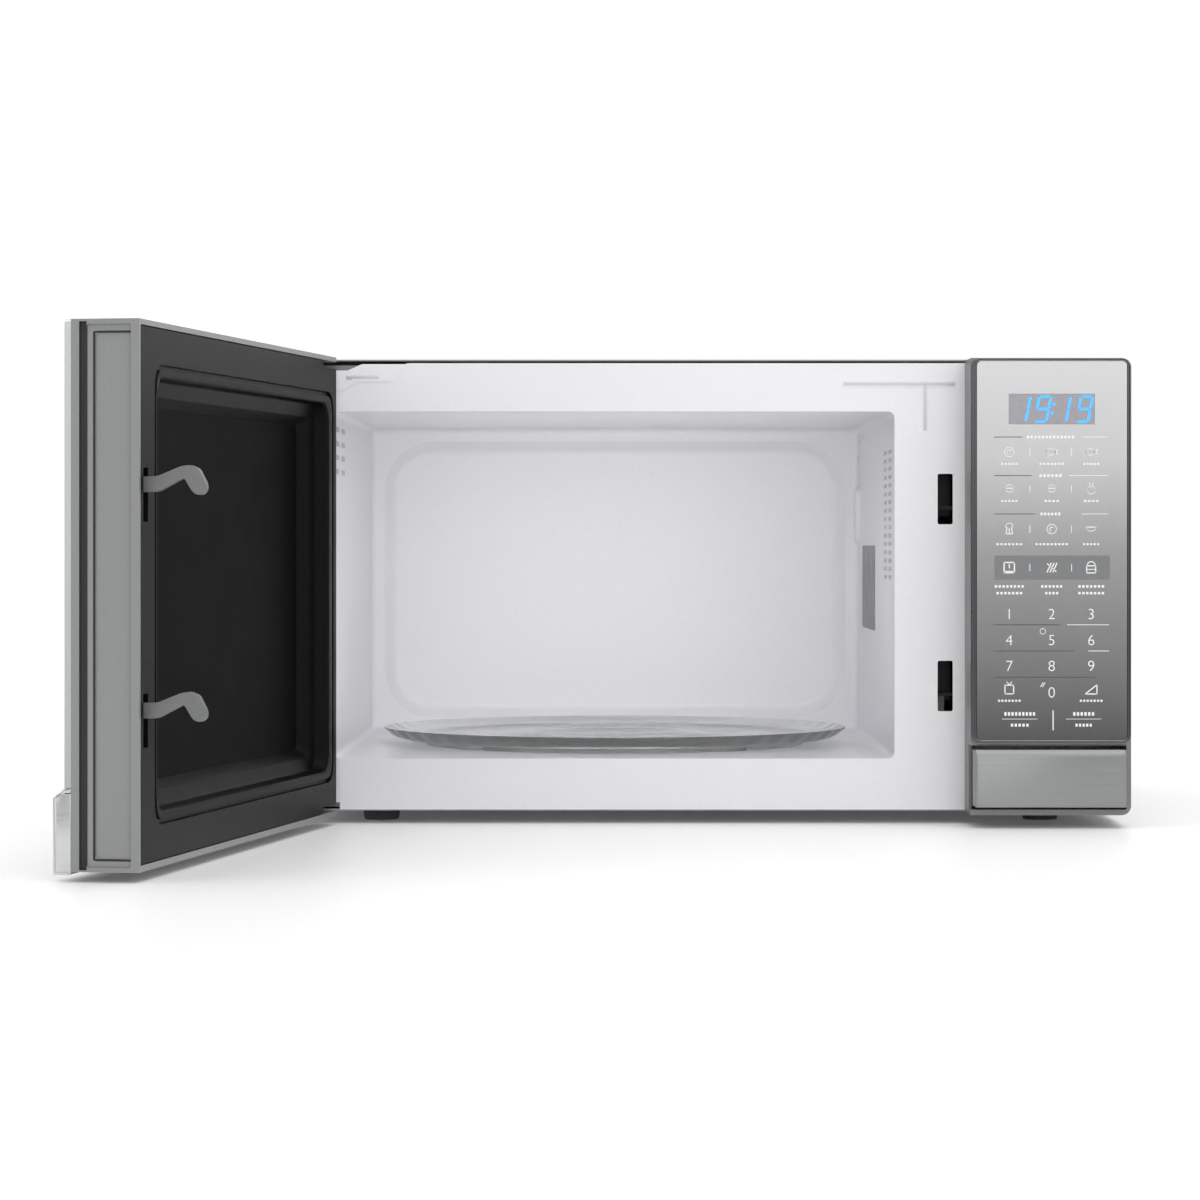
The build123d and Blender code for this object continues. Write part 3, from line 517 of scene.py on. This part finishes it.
class OBJECT_OT_microwave_door_cover(bpy.types.Operator):
    """Models the door's black inner cover, with its groove, raised rim and sloping walls"""
    bl_idname = "object.microwave_door_cover"
    bl_label = "Door Cover"

    def execute(self, context):
        radius = context.scene.microwave_door.rim_radius
        mesh = bmesh.new()
        outer = (4.4, 415.2), (1.4, 283.2)
        rim = (12, 390), (20, 264)
        well = (24, 386), (27, 257)
        steps = [
            (*outer, 1.5, -3.9), (*outer, 1.5, -1.5),
            (*inset(outer, 0.5), 1.5, -1.02),
            (*inset(rim, -0.4), radius + 0.4, -1.06),
            (*rim, radius, -1.3),
            (*inset(rim, 0.2), radius, -3.2),
            (*inset(rim, 2.4), radius - 2, -3.15),
            (*inset(rim, 2.7), radius - 2, -1.5),
            (*inset(rim, 3.6, 3.2), radius - 3, -1.02),
            (*inset(well, -2.2, -2.0), 15, -1.06),
            (*inset(well, -1.2, -1.0), 14, -1.2),
            (*well, 13, -2.2),
            (*inset(well, 1.5, 1.2), 12, -9.5),
            (*inset(well, 2.6, 2.4), 11, -10.3),
            (*inset(well, 10, 9), 8, -11.2),
            (*inset(well, 11.2, 10), 8, -12.2),
            (*inset(well, 14.6, 14.2), 6, -18.0),
        ]
        back = [
            (*inset(well, 12.6, 12.2), 8, -17.9),
            (*inset(well, 0.2), 13, -11.8),
            (*inset(well, -2.0), 14, -3.85),
        ]
        bridge(mesh, [ring(mesh, *step) for step in steps + back], closed=True)
        cover = keep_piece(mesh, "door_cover", "cover_black", "door", ("choke_cover",),
                           swings=True)
        cutters = bmesh.new()
        for root in HOOK_ROOTS:
            block(cutters, (402.6, 410.8), (-9, 3), (root - 15.5, root + 13), 0)
        for low in (279, 0):
            block(cutters, (2, 38), (-9, 3), (low, low + 5.5), 0)
        swing(cutters)
        carve(cover, cutters)
        return {"FINISHED"}


class OBJECT_OT_microwave_door_hooks(bpy.types.Operator):
    """Models the sprung slider and its swan-necked latch hooks"""
    bl_idname = "object.microwave_door_hooks"
    bl_label = "Latch Hooks"

    def execute(self, context):
        thickness = context.scene.microwave_door.hook_thickness
        mesh = bmesh.new()
        middle = 406.7
        outline = [(-7, 0), (6, 0.2), (20.4, 7.6), (24.9, 0.2), (27.2, -1.4), (30.2, -1.5),
                   (32.4, 1.0), (32.3, 4.2), (28.2, 12.2), (23.6, 14.2), (19, 13.6), (6, 8.4),
                   (-7, 8)]
        for root in HOOK_ROOTS:
            hook = bmesh.new()
            points = [spot(middle - thickness / 2, reach, root + rise) for reach, rise in outline]
            extrude_outline(hook, points, Vector((thickness * MM, 0, 0)), 0.8,
                            rounded=range(1, 12), round_by=1.4)
            absorb(mesh, hook)
        block(mesh, (401.6, 411.2), (-12, -6.6), (66, 222), 0.8)
        for notch in range(7):
            block(mesh, (402.6, 410.2), (-6.7, -6.2), (96 + notch * 12, 100 + notch * 12), 0.2)
        keep_piece(mesh, "latch_hook_slider", "hook_grey", "hooks", ("latch_hooks",),
                   swings=True, sharp=40)
        return {"FINISHED"}


class OBJECT_OT_microwave_door_band(bpy.types.Operator):
    """Models the silver grip band along the foot of the door's front"""
    bl_idname = "object.microwave_door_band"
    bl_label = "Door Band"

    def execute(self, context):
        mesh = bmesh.new()
        outline = [(-38.1, -4), (-48, -4), (-48, 36.2), (-42, 41), (-38.1, 41), (-38.1, 38.6),
                   (-41.2, 38.6), (-45.8, 34.9), (-45.8, -1.8), (-38.1, -1.8)]
        points = [spot(0.5, depth, rise) for depth, rise in outline]
        extrude_outline(mesh, points, Vector((0.418, 0, 0)), 0.7)
        for end_cap in ((0.5, 2.7), (416.3, 418.5)):
            block(mesh, end_cap, (-46, -38.1), (-3, 38.4), 0.3)
        keep_piece(mesh, "door_grip_band", "silver_trim", "door", ("door_band",),
                   swings=True)
        return {"FINISHED"}


class OBJECT_OT_microwave_door_seams(bpy.types.Operator):
    """Lays dark strips of painted shade into the channels of the door's free end: the shadow under
    the bezel's step and the shade in the grooves
    """
    bl_idname = "object.microwave_door_seams"
    bl_label = "Door Seams"

    def execute(self, context):
        mesh = bmesh.new()
        # dark strips painted as the shadow under the bezel's step and the shade in the grooves
        block(mesh, (416.95, 417.6), (-33.5, -29.5), (-1.4, 285.1), 0.2)
        for depth, rise in (((-26.3, -25.1), (3.6, 279.9)), ((-25.2, -5.5), (279.1, 280.2)),
                            ((-25.2, -5.5), (3.3, 4.4))):
            block(mesh, (417.12, 417.3), depth, rise, 0.05)
        keep_piece(mesh, "door_end_painted_shade", "channel_painted_shade", "door", swings=True)
        return {"FINISHED"}


# ---------------- control panel

PANEL_COLUMNS = (443.9, 470.3, 494.9)
PANEL_FACE = -41.46


class OBJECT_OT_microwave_panel_trim(bpy.types.Operator):
    """Models the silver surround that frames the control panel's face, with light beads along its
    edges that paint its highlights
    """
    bl_idname = "object.microwave_panel_trim"
    bl_label = "Panel Surround"

    def execute(self, context):
        mesh = bmesh.new()
        outer = (420.05, 519.95), (44.05, 284.95)
        inner = (423.65, 517.35), (46.85, 283.05)
        steps = [
            (*outer, 5.8, -40.0), (*outer, 5.8, -41.0),
            (*inset(outer, 0.5), 5.3, -41.5),
            (*inset(outer, 1.1, 0.9), 4.9, -41.46),
            (*inset(outer, 1.4, 1.1), 4.6, -41.1),
            (*inset(inner, -1.3, -0.6), 4.0, -41.14),
            (*inset(inner, -1.0, -0.4), 3.8, -41.5),
            (*inset(inner, -0.3, -0.2), 3.3, -41.46),
            (*inner, 3.0, -41.2), (*inner, 3.0, -40.04),
        ]
        bridge(mesh, [ring(mesh, *step) for step in steps], closed=True)
        keep_piece(mesh, "panel_surround", "surround_silver", "oven", ("control_bezel",))
        # light beads along both edges of the surround, painted as the highlights on its bevels
        highlight_beads = bmesh.new()
        for line, radius in ((inset(outer, 0.45, 0.4), 5.3), (inset(inner, -0.95, -0.5), 3.7)):
            within = inset(line, 0.45, 0.4)
            steps = ((line, radius, -41.3), (line, radius, -41.49),
                     (within, radius - 0.4, -41.43), (within, radius - 0.4, -41.36))
            bridge(highlight_beads, [ring(highlight_beads, *spans, *rest) for spans, *rest in steps], closed=True)
        keep_piece(highlight_beads, "surround_painted_highlights", "painted_highlight_silver", "oven")
        return {"FINISHED"}


class OBJECT_OT_microwave_open_button(bpy.types.Operator):
    """Models the door-release button, hollow behind, with its push rod and spring post"""
    bl_idname = "object.microwave_open_button"
    bl_label = "Release Button"

    def execute(self, context):
        mesh = bmesh.new()
        u, w = (422, 516.4), (5, 41)
        steps = [
            (u, w, 1.2, -30), (u, w, 1.2, -45.2),
            ((u[0] + 0.4, u[1] - 0.4), (w[0] + 0.4, w[1] - 2.2), 1.4, -47.6),
            ((u[0] + 1.0, u[1] - 1.0), (w[0] + 0.9, w[1] - 3.0), 1.6, -48),
        ]
        rings = [ring(mesh, *step) for step in steps]
        hollow = [ring(mesh, (424, 514.4), (7, 37), 1.0, depth) for depth in (-45.6, -30.05)]
        bridge(mesh, rings)
        bmesh.ops.contextual_create(mesh, geom=rings[-1])
        bridge(mesh, hollow)
        bmesh.ops.contextual_create(mesh, geom=hollow[0])
        bridge(mesh, [hollow[-1], rings[0]])
        block(mesh, (428, 436), (-45.7, 5.3), (12, 17), 0.5)
        turned(mesh, spot(480, -45.8, 20), Vector((0, 1, 0)),
               ((5, 0), (5, 19.6), (4.6, 20), (2.2, 20), (2.2, 24.4), (1.8, 24.8), (0, 24.8)), 32)
        keep_piece(mesh, "release_button", "button_silver", "button", ("open_button",))
        return {"FINISHED"}


def bar(mesh, u, w, length, height, turn=0.0):
    """A flat stroke on the panel's face, centred at u and w."""
    matrix = (Matrix.Translation(spot(u, PANEL_FACE, w)) @ Matrix.Rotation(-turn, 4, "Y")
              @ Matrix.Diagonal((length * MM, 0.05 * MM, height * MM, 1.0)))
    bmesh.ops.create_cube(mesh, size=1.0, matrix=matrix)


def hoop(mesh, u, w, radius, line=0.55, squash=1.0, segments=28, arc=(0, 360)):
    """A flat ring, or part of one, made of short strokes."""
    steps = max(3, int(segments * (arc[1] - arc[0]) / 360))
    for step in range(steps):
        angle = radians(arc[0] + (arc[1] - arc[0]) * (step + 0.5) / steps)
        stride = radians(arc[1] - arc[0]) / steps * radius * 1.12
        slope = radians(90) + angle
        bar(mesh, u + radius * cos(angle), w + radius * squash * sin(angle), stride, line, slope)


def label(mesh, u, w, length, height=1.1):
    """A row of small dashes where a key carries a word."""
    count = max(2, round(length / 2.3))
    for number in range(count):
        place = u - length / 2 + (number + 0.5) * length / count
        bar(mesh, place, w, length / count * 0.62, height)


def bowl(mesh, u, w, size=3.6):
    """A small bowl."""
    bar(mesh, u, w + 1.2, size * 2, 0.6)
    hoop(mesh, u, w + 1.2, size * 0.86, arc=(180, 360), squash=0.8)


def covered_dish(mesh, u, w):
    """A small dish with a domed heap on it."""
    bowl(mesh, u, w - 0.8, 3.4)
    hoop(mesh, u, w + 0.6, 2.4, arc=(0, 180), squash=0.8)


def round_food(mesh, u, w):
    """A round icon with a curl in it."""
    hoop(mesh, u, w, 2.9)
    hoop(mesh, u, w, 1.2, arc=(30, 260))


def steaming_pot(mesh, u, w):
    """A small pot with steam over it."""
    hoop(mesh, u, w - 0.8, 2.7, squash=0.8)
    bar(mesh, u - 1.0, w + 3.0, 0.5, 1.8)
    bar(mesh, u + 1.0, w + 3.0, 0.5, 1.8)


def fish_shape(mesh, u, w):
    """A small oval with a tail."""
    hoop(mesh, u - 0.6, w, 2.8, squash=0.7)
    bar(mesh, u + 3.2, w + 0.8, 2.2, 0.6, radians(45))
    bar(mesh, u + 3.2, w - 0.8, 2.2, 0.6, radians(-45))


def bucket_shape(mesh, u, w):
    """A small striped tub with a heaped top."""
    bar(mesh, u - 1.7, w - 1.0, 0.6, 4.2, radians(-8))
    bar(mesh, u + 1.7, w - 1.0, 0.6, 4.2, radians(8))
    bar(mesh, u, w - 3.0, 3.2, 0.6)
    bar(mesh, u, w - 1.0, 0.5, 3.4)
    hoop(mesh, u, w + 1.6, 2.1, arc=(-20, 200))


class OBJECT_OT_microwave_keypad(bpy.types.Operator):
    """Draws the keypad's marks, rules and numbers, and the band behind the middle keys"""
    bl_idname = "object.microwave_keypad"
    bl_label = "Keypad Marks"

    def execute(self, context):
        left, middle, right = PANEL_COLUMNS
        band = bmesh.new()
        block(band, (434.7, 506.6), (-41.44, -41.38), (146.8, 161.8), 0)
        keep_piece(band, "keypad_band", "keypad_band", "oven")

        light = bmesh.new()
        for w, half in ((235.6, 15.2), (211.6, 7.4), (187.7, 6.6)):
            label(light, middle - 0.8, w, half * 2, 1.7)
        for w in (226.3, 203.3, 178.3, 154.3):
            for divider in (456.7, 482.7):
                bar(light, divider, w, 0.45, 4.6)
        icons = {
            226.3: (round_food, fish_shape, fish_shape),
            203.3: (covered_dish, covered_dish, steaming_pot),
            178.3: (bucket_shape, round_food, bowl),
        }
        for w, row in icons.items():
            for u, icon in zip(PANEL_COLUMNS, row):
                icon(light, u, w)
        for w, height, lengths in (
            (218.9, 1.2, (11, 16, 11)), (195.8, 1.2, (11, 10, 10)), (168.9, 1.2, (17, 21, 11)),
            (142.6, 1.5, (19, 14, 17)), (138.4, 1.5, (17, 9, 17)),
        ):
            for u, length in zip(PANEL_COLUMNS, lengths):
                label(light, u, w, length, height)
        for side in (-3.2, 3.2):
            bar(light, left + side, 154.3, 0.8, 7.0)
            bar(light, left, 154.3 + side, 7.0, 0.8)
        bar(light, left, 152.0, 5, 0.6)
        bar(light, left, 155.2, 0.7, 2.8)
        for shift in (-1.6, 0.2, 2.0):
            bar(light, middle + shift, 154.3, 0.7, 6.6, radians(-24))
        bar(light, middle, 154.3, 7.6, 0.7, radians(-42))
        for side in (-2.8, 2.8):
            bar(light, right + side, 153.2, 0.7, 4.6)
        bar(light, right, 155.4, 6.2, 0.7)
        bar(light, right, 151.0, 6.2, 0.7)
        bar(light, right, 153.2, 5.0, 0.5)
        hoop(light, right, 155.6, 2.4, 0.7, arc=(0, 180))
        hoop(light, 464.8, 114.6, 1.7, 0.4)
        for u in (464.2, 465.4):
            bar(light, u, 81.4, 3.2, 0.5, radians(60))
        for side in (-2.7, 2.7):
            bar(light, left + side, 78.4, 0.7, 5.8)
            bar(light, left, 78.4 + side, 6.0, 0.7)
        bar(light, left - 0.9, 82.4, 2.4, 0.5, radians(-45))
        bar(light, left + 0.9, 82.4, 2.4, 0.5, radians(45))
        bar(light, right, 75.6, 7.8, 0.7)
        bar(light, right + 3.6, 78.4, 0.7, 6.0)
        bar(light, right, 78.5, 9.4, 0.7, radians(38))
        label(light, left, 71.4, 15, 1.3)
        label(light, right, 71.4, 15, 1.3)
        for u, wide, narrow in ((450.4, 20, 12), (490.2, 14, 11)):
            label(light, u, 63.2, wide, 2.2)
            bar(light, u, 60.0, 22, 0.3)
            label(light, u, 56.2, narrow, 1.8)
        bar(light, 471.2, 59.2, 0.7, 12.4)
        for w, long_from, long_to in ((235.6, 489, 505), (211.6, 481, 505), (187.7, 489, 505),
                                      (118.7, 480, 506), (102.4, 493, 506)):
            bar(light, (long_from + long_to) / 2, w, long_to - long_from, 0.4)
        keep_piece(light, "keypad_marks", "ink_light", "oven")

        dark = bmesh.new()
        start = 434.3
        for w, end in ((235.6, 452), (211.6, 458), (187.7, 460), (118.7, 475), (102.4, 484),
                       (86.0, 497)):
            bar(dark, (start + end) / 2, w, end - start, 0.45)
        keep_piece(dark, "keypad_rules", "ink_dark", "oven")

        size = context.scene.microwave_panel.number_height
        numbers = bmesh.new()
        for w, row in ((125.0, "123"), (108.8, "456"), (92.7, "789"), (76.2, " 0 ")):
            for u, character in zip(PANEL_COLUMNS, row):
                if character == " ":
                    continue
                words = bpy.data.curves.new("number", "FONT")
                words.body = character
                words.size = size * MM
                words.extrude = 0.02 * MM
                words.offset = -0.13 * MM
                words.align_x = words.align_y = "CENTER"
                holder = link_object("number", words)
                graph = context.evaluated_depsgraph_get()
                flat = bpy.data.meshes.new_from_object(holder.evaluated_get(graph))
                flat.transform(Matrix.Translation(spot(u, PANEL_FACE, w))
                               @ Matrix.Rotation(radians(90), 4, "X"))
                numbers.from_mesh(flat)
                bpy.data.objects.remove(holder)
                bpy.data.curves.remove(words)
                bpy.data.meshes.remove(flat)
        keep_piece(numbers, "keypad_numbers", "ink_light", "oven")
        return {"FINISHED"}


class OBJECT_OT_microwave_clock(bpy.types.Operator):
    """Draws the lit clock digits in the display window"""
    bl_idname = "object.microwave_clock"
    bl_label = "Clock Digits"

    def execute(self, context):
        panel = context.scene.microwave_panel
        tall, lean, wide, line = panel.digit_height, panel.digit_slant, 7.2, 1.7
        centre = 253.0
        level, upright = (wide, line), (line, tall / 2 - 0.8)
        segments = {
            "a": (0, tall / 2, *level), "b": (wide / 2, tall / 4, *upright),
            "c": (wide / 2, -tall / 4, *upright), "d": (0, -tall / 2, *level),
            "f": (-wide / 2, tall / 4, *upright), "g": (0, 0, *level),
        }
        mesh = bmesh.new()
        for u, lit in ((452.0, "bc"), (464.8, "abcdfg"), (477.2, "bc"), (490.8, "abcdfg")):
            for name in lit:
                across, rise, length, height = segments[name]
                if length > height:
                    length -= 0.9
                matrix = (Matrix.Translation(spot(u + across + lean * rise, -41.4, centre + rise))
                          @ Matrix.Diagonal((length * MM, 0.1 * MM, height * MM, 1)))
                made = bmesh.ops.create_cube(mesh, size=1.0, matrix=matrix)
                for vert in made["verts"]:
                    vert.co.x += lean * (vert.co.z - spot(0, 0, centre + rise).z)
        for rise in (-2.6, 2.9):
            block(mesh, (470.3 + lean * rise, 472.1 + lean * rise), (-41.45, -41.35),
                  (centre + rise - 0.9, centre + rise + 0.9), 0)
        keep_piece(mesh, "clock_digits", "clock_glow", "oven")
        return {"FINISHED"}


# ---------------- turntable and feet


class OBJECT_OT_microwave_glass_plate(bpy.types.Operator):
    """Models the glass turntable plate, with its raised fluted rim and centre ring"""
    bl_idname = "object.microwave_glass_plate"
    bl_label = "Glass Plate"

    def execute(self, context):
        settings = context.scene.microwave_turntable
        edge = settings.plate_radius
        mesh = bmesh.new()
        profile = [(0, 0), (40, 0), (118, 0), (137, 0.2), (146, 1.2), (151.5, 3.4), (edge - 1, 7.4),
                   (edge - 0.1, 8.2), (edge - 0.3, 8.8), (edge - 1.4, 8.9), (edge - 3.4, 8.3),
                   (150.2, 6.2), (145, 5.0), (137, 4.6), (134, 4.5), (133, 4.9), (131, 4.9),
                   (130, 4.4), (60, 4.4), (59, 4.8), (57, 4.8), (56, 4.4), (0, 4.4)]
        centre = spot(*PLATE_CENTRE, 36)
        turned(mesh, centre, Vector((0, 0, 1)), profile, settings.plate_steps)
        for vert in mesh.verts:
            out = (vert.co - centre).to_2d()
            if out.length > 145 * MM:
                wave = settings.flute_depth * MM * (cos(settings.flutes * out.angle_signed(
                    Vector((1, 0)))) - 1) / 2
                vert.co.xy += out.normalized() * wave
        keep_piece(mesh, "turntable_glass", "clear_glass", "turntable", ("glass_plate",),
                   sharp=50)
        return {"FINISHED"}


class OBJECT_OT_microwave_feet(bpy.types.Operator):
    """Models the ribbed rubber feet"""
    bl_idname = "object.microwave_feet"
    bl_label = "Feet"

    def execute(self, context):
        mesh = bmesh.new()
        for u in (48, 472):
            for v in (40, 356):
                turned(mesh, spot(u, v, 0), Vector((0, 0, -1)),
                       ((0, 0), (12, 0), (12, 1.2), (11.4, 1.7), (11.4, 2.6), (11.8, 3.1),
                        (11.6, 4.4), (11.0, 7.4), (10.4, 8), (6.5, 8), (6, 6.8), (0, 6.8)), 40)
        keep_piece(mesh, "foot_pads", "foot_rubber", "oven", ("feet",))
        return {"FINISHED"}


class OBJECT_OT_microwave_vent_screens(bpy.types.Operator):
    """Models thin light grey screens in the slots of the oven's side walls, painting light into
    slots that would otherwise read as shade
    """
    bl_idname = "object.microwave_vent_screens"
    bl_label = "Vent Screens"

    def execute(self, context):
        mesh = bmesh.new()
        # light grey screens that paint light into the slots
        block(mesh, (375.75, 375.95), (25, 99), (143, 233), 0.05)
        block(mesh, (20.05, 20.25), (8, 96), (212, 246), 0.05)
        keep_piece(mesh, "vent_screens", "vent_screen_painted_light", "oven")
        return {"FINISHED"}


class OBJECT_OT_microwave_frame_ribs(bpy.types.Operator):
    """Models the raised stiffening ribs pressed into the upper corners of the front frame, in a
    darker copy of the enamel that paints their shade
    """
    bl_idname = "object.microwave_frame_ribs"
    bl_label = "Frame Ribs"

    def execute(self, context):
        mesh = bmesh.new()
        for across, rise in (((342.9, 413.9), (269.2, 271.8)), ((393.4, 396.2), (240.5, 270.2)),
                             ((28, 48.5), (273.4, 275.8))):
            block(mesh, across, (-0.5, 0.5), rise, 0.45, 3)
        # painted shade: the ribs take a darker copy of the enamel
        keep_piece(mesh, "frame_ribs", "rib_enamel_painted_shade", "oven")
        return {"FINISHED"}


# ---------------- power parts


class OBJECT_OT_microwave_windings(bpy.types.Operator):
    """Models the transformer's two coils with their layers of wire"""
    bl_idname = "object.microwave_windings"
    bl_label = "Transformer Windings"

    def execute(self, context):
        mesh = bmesh.new()
        turns = 10
        stages = turns * 4
        for low, high in ((17.4, 41.6), (46.4, 70.6)):
            coil = bmesh.new()
            loops = []
            for stage in range(stages + 1):
                w = low + (high - low) * stage / stages
                swell = 0.45 * (1 - cos(stage * pi / 2)) - 0.9
                loops.append(level_ring(coil, (414.6 - swell, 486.4 + swell),
                                        (273 - swell, 362 + swell), 11, w))
            inner = [level_ring(coil, (430.8, 470.2), (289.8, 345.2), 1.2, w)
                     for w in (high, low)]
            bridge(coil, loops + inner, closed=True)
            absorb(mesh, coil)
        keep_piece(mesh, "transformer_coils", "winding_copper", "oven", ("transformer_windings",),
                   sharp=60)
        return {"FINISHED"}


class OBJECT_OT_microwave_fan(bpy.types.Operator):
    """Models the cooling fan's rotor with curved blades"""
    bl_idname = "object.microwave_fan"
    bl_label = "Fan Rotor"

    def execute(self, context):
        centre = spot(456, 0, 176)
        blades, root, length, thickness = 5, 12, 35, 1.2
        mesh = bmesh.new()
        turned(mesh, centre, Vector((0, 1, 0)),
               ((0, 338), (2.6, 338), (3, 338.5), (3, 367), (12, 367), (13, 368), (13, 384.5),
                (11.8, 386), (4, 386), (3.6, 384.6), (0, 384.6)), 48)
        for number in range(blades):
            blade = bmesh.new()
            bmesh.ops.create_grid(blade, x_segments=10, y_segments=8, size=0.5)
            for vert in blade.verts:
                out = vert.co.x + 0.5
                across = vert.co.y
                chord = (19 + 9 * out) * MM
                pitch = radians(44 - 16 * out)
                camber = 3.2 * MM * (1 - 4 * across * across)
                reach = (root + length * out - 3 * abs(across) ** 2 * 4) * MM
                along = across * chord
                vert.co = Vector((reach, camber + along * sin(pitch), along * cos(pitch)))
            bmesh.ops.solidify(blade, geom=blade.faces[:], thickness=thickness * MM)
            bmesh.ops.rotate(blade, cent=(0, 0, 0), verts=blade.verts,
                             matrix=Matrix.Rotation(radians(360 * number / blades), 3, "Y"))
            bmesh.ops.translate(blade, verts=blade.verts, vec=centre + Vector((0, 0.3755, 0)))
            absorb(mesh, blade)
        keep_piece(mesh, "fan_rotor", "white_plastic", "impeller", ("fan_impeller",),
                   sharp=45)
        return {"FINISHED"}


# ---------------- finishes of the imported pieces


class OBJECT_OT_microwave_finishes(bpy.types.Operator):
    """Gives every carried-over piece the finish named by its material slot, except the interlock
    bracket, which is painted near-black as the shade in the latch slots
    """
    bl_idname = "object.microwave_finishes"
    bl_label = "Finishes"

    def execute(self, context):
        slots = {entry["node"]: entry["material_slot"] for entry in frame["record"]["subparts"]}
        for node, piece in frame["nodes"].items():
            # the interlock bracket behind the latch slots is painted near-black as painted shade in
            # the slots
            look = {"interlock_bracket": "slot_painted_shade"}.get(node, slots[node])
            piece.data.materials.clear()
            piece.data.materials.append(FINISHES[look](look))
        return {"FINISHED"}


# ---------------- stage


class OBJECT_OT_microwave_stage(bpy.types.Operator):
    """Sets the studio paper, the soft lights and the camera"""
    bl_idname = "object.microwave_stage"
    bl_label = "Stage"

    def execute(self, context):
        scene = context.scene
        stage = scene.microwave_stage
        paper = bmesh.new()
        side, near, bend_from, bend, height = -30, -20, 3.0, 2.0, 14
        profile = [Vector((side, near, FLOOR)), Vector((side, bend_from, FLOOR))]
        profile += [Vector((side, bend_from + bend * sin(radians(a)),
                            FLOOR + bend * (1 - cos(radians(a))))) for a in range(10, 91, 10)]
        profile.append(Vector((side, bend_from + bend, FLOOR + height)))
        verts = [paper.verts.new(point) for point in profile]
        edges = [paper.edges.new(pair) for pair in zip(verts, verts[1:])]
        made = bmesh.ops.extrude_edge_only(paper, edges=edges)
        bmesh.ops.translate(paper, vec=(-2 * side, 0, 0), verts=moved_verts(made))
        bmesh.ops.recalc_face_normals(paper, faces=paper.faces)
        data = mesh_data("studio_sweep", paper)
        data.shade_smooth()
        sweep = link_object("studio_sweep", data)
        data.materials.append(FINISHES["studio_paper"]("studio_paper"))

        world = bpy.data.worlds.new("studio_air")
        world.use_nodes = True
        air = world.node_tree.nodes["Background"]
        air.inputs["Color"].default_value = (1, 1, 1, 1)
        air.inputs["Strength"].default_value = stage.daylight
        scene.world = world
        scene.view_settings.view_transform = "Standard"

        for name, place, size, power, target in (
            ("overhead_softbox", (0.3, -0.4, 2.4), 2.6, 34, (0.05, -0.1, 0.1)),
            ("front_softbox", (0.5, -3.0, 1.1), 1.8, 14.5, (0.05, 0.1, 0.15)),
            ("left_softbox", (-2.4, -1.6, 1.4), 1.6, 8, (-0.2, -0.2, 0.15)),
        ):
            light = bpy.data.lights.new(name, "AREA")
            light.shape = "SQUARE"
            light.size = size
            light.energy = power
            holder = link_object(name, light)
            holder.location = place
            aim = Vector(target) - Vector(place)
            holder.rotation_euler = aim.to_track_quat("-Z", "Y").to_euler()

        lamp = bpy.data.lights.new("oven_glow", "AREA")
        lamp.shape = "RECTANGLE"
        lamp.size, lamp.size_y = 0.30, 0.16
        lamp.energy = stage.inside_light
        lamp.spread = radians(105)
        holder = link_object("oven_glow", lamp)
        holder.location = spot(PLATE_CENTRE[0], -14, 150)
        holder.rotation_euler = (radians(90), 0, 0)
        holder.visible_camera = False
        holder.visible_glossy = False

        lens = bpy.data.cameras.new("camera")
        lens.lens = stage.lens
        lens.sensor_width = 36
        lens.shift_x = -0.0159
        lens.shift_y = -0.0456
        lens.dof.use_dof = False
        camera = link_object("camera", lens)
        camera.location = spot(200.94, -stage.distance, 168.2)
        camera.rotation_euler = (radians(90), 0, 0)
        scene.camera = camera
        return {"FINISHED"}


STEPS = (
    OBJECT_OT_microwave_finishes,
    OBJECT_OT_microwave_door_cover,
    OBJECT_OT_microwave_door_hooks,
    OBJECT_OT_microwave_door_band,
    OBJECT_OT_microwave_door_seams,
    OBJECT_OT_microwave_panel_trim,
    OBJECT_OT_microwave_open_button,
    OBJECT_OT_microwave_keypad,
    OBJECT_OT_microwave_clock,
    OBJECT_OT_microwave_glass_plate,
    OBJECT_OT_microwave_feet,
    OBJECT_OT_microwave_vent_screens,
    OBJECT_OT_microwave_frame_ribs,
    OBJECT_OT_microwave_windings,
    OBJECT_OT_microwave_fan,
    OBJECT_OT_microwave_stage,
)


class VIEW3D_PT_microwave(bpy.types.Panel):
    """Lists the oven's pieces in the sidebar"""
    bl_idname = "VIEW3D_PT_microwave"
    bl_label = "Microwave Oven"
    bl_space_type = "VIEW_3D"
    bl_region_type = "UI"
    bl_category = "Microwave"

    def draw(self, context):
        scene = context.scene
        for settings in (scene.microwave_door, scene.microwave_panel, scene.microwave_turntable,
                         scene.microwave_stage):
            box = self.layout.box()
            for name in settings.__annotations__:
                box.prop(settings, name)
        for step in STEPS:
            self.layout.operator(step.bl_idname)


SETTINGS = {
    "microwave_door": MicrowaveDoorSettings,
    "microwave_panel": MicrowavePanelSettings,
    "microwave_turntable": MicrowaveTurntableSettings,
    "microwave_stage": MicrowaveStageSettings,
}


def register():
    """Registers the settings, the operators and the panel."""
    for name, group in SETTINGS.items():
        bpy.utils.register_class(group)
        setattr(bpy.types.Scene, name, PointerProperty(type=group))
    for step in STEPS:
        bpy.utils.register_class(step)
    bpy.utils.register_class(VIEW3D_PT_microwave)


def unregister():
    """Takes everything back out."""
    bpy.utils.unregister_class(VIEW3D_PT_microwave)
    for step in reversed(STEPS):
        bpy.utils.unregister_class(step)
    for name, group in SETTINGS.items():
        delattr(bpy.types.Scene, name)
        bpy.utils.unregister_class(group)


def main():
    """Registers the classes and builds every piece in order."""
    register()
    for step in STEPS:
        group, name = step.bl_idname.split(".")
        getattr(getattr(bpy.ops, group), name)()


if __name__ == "__main__":
    main()
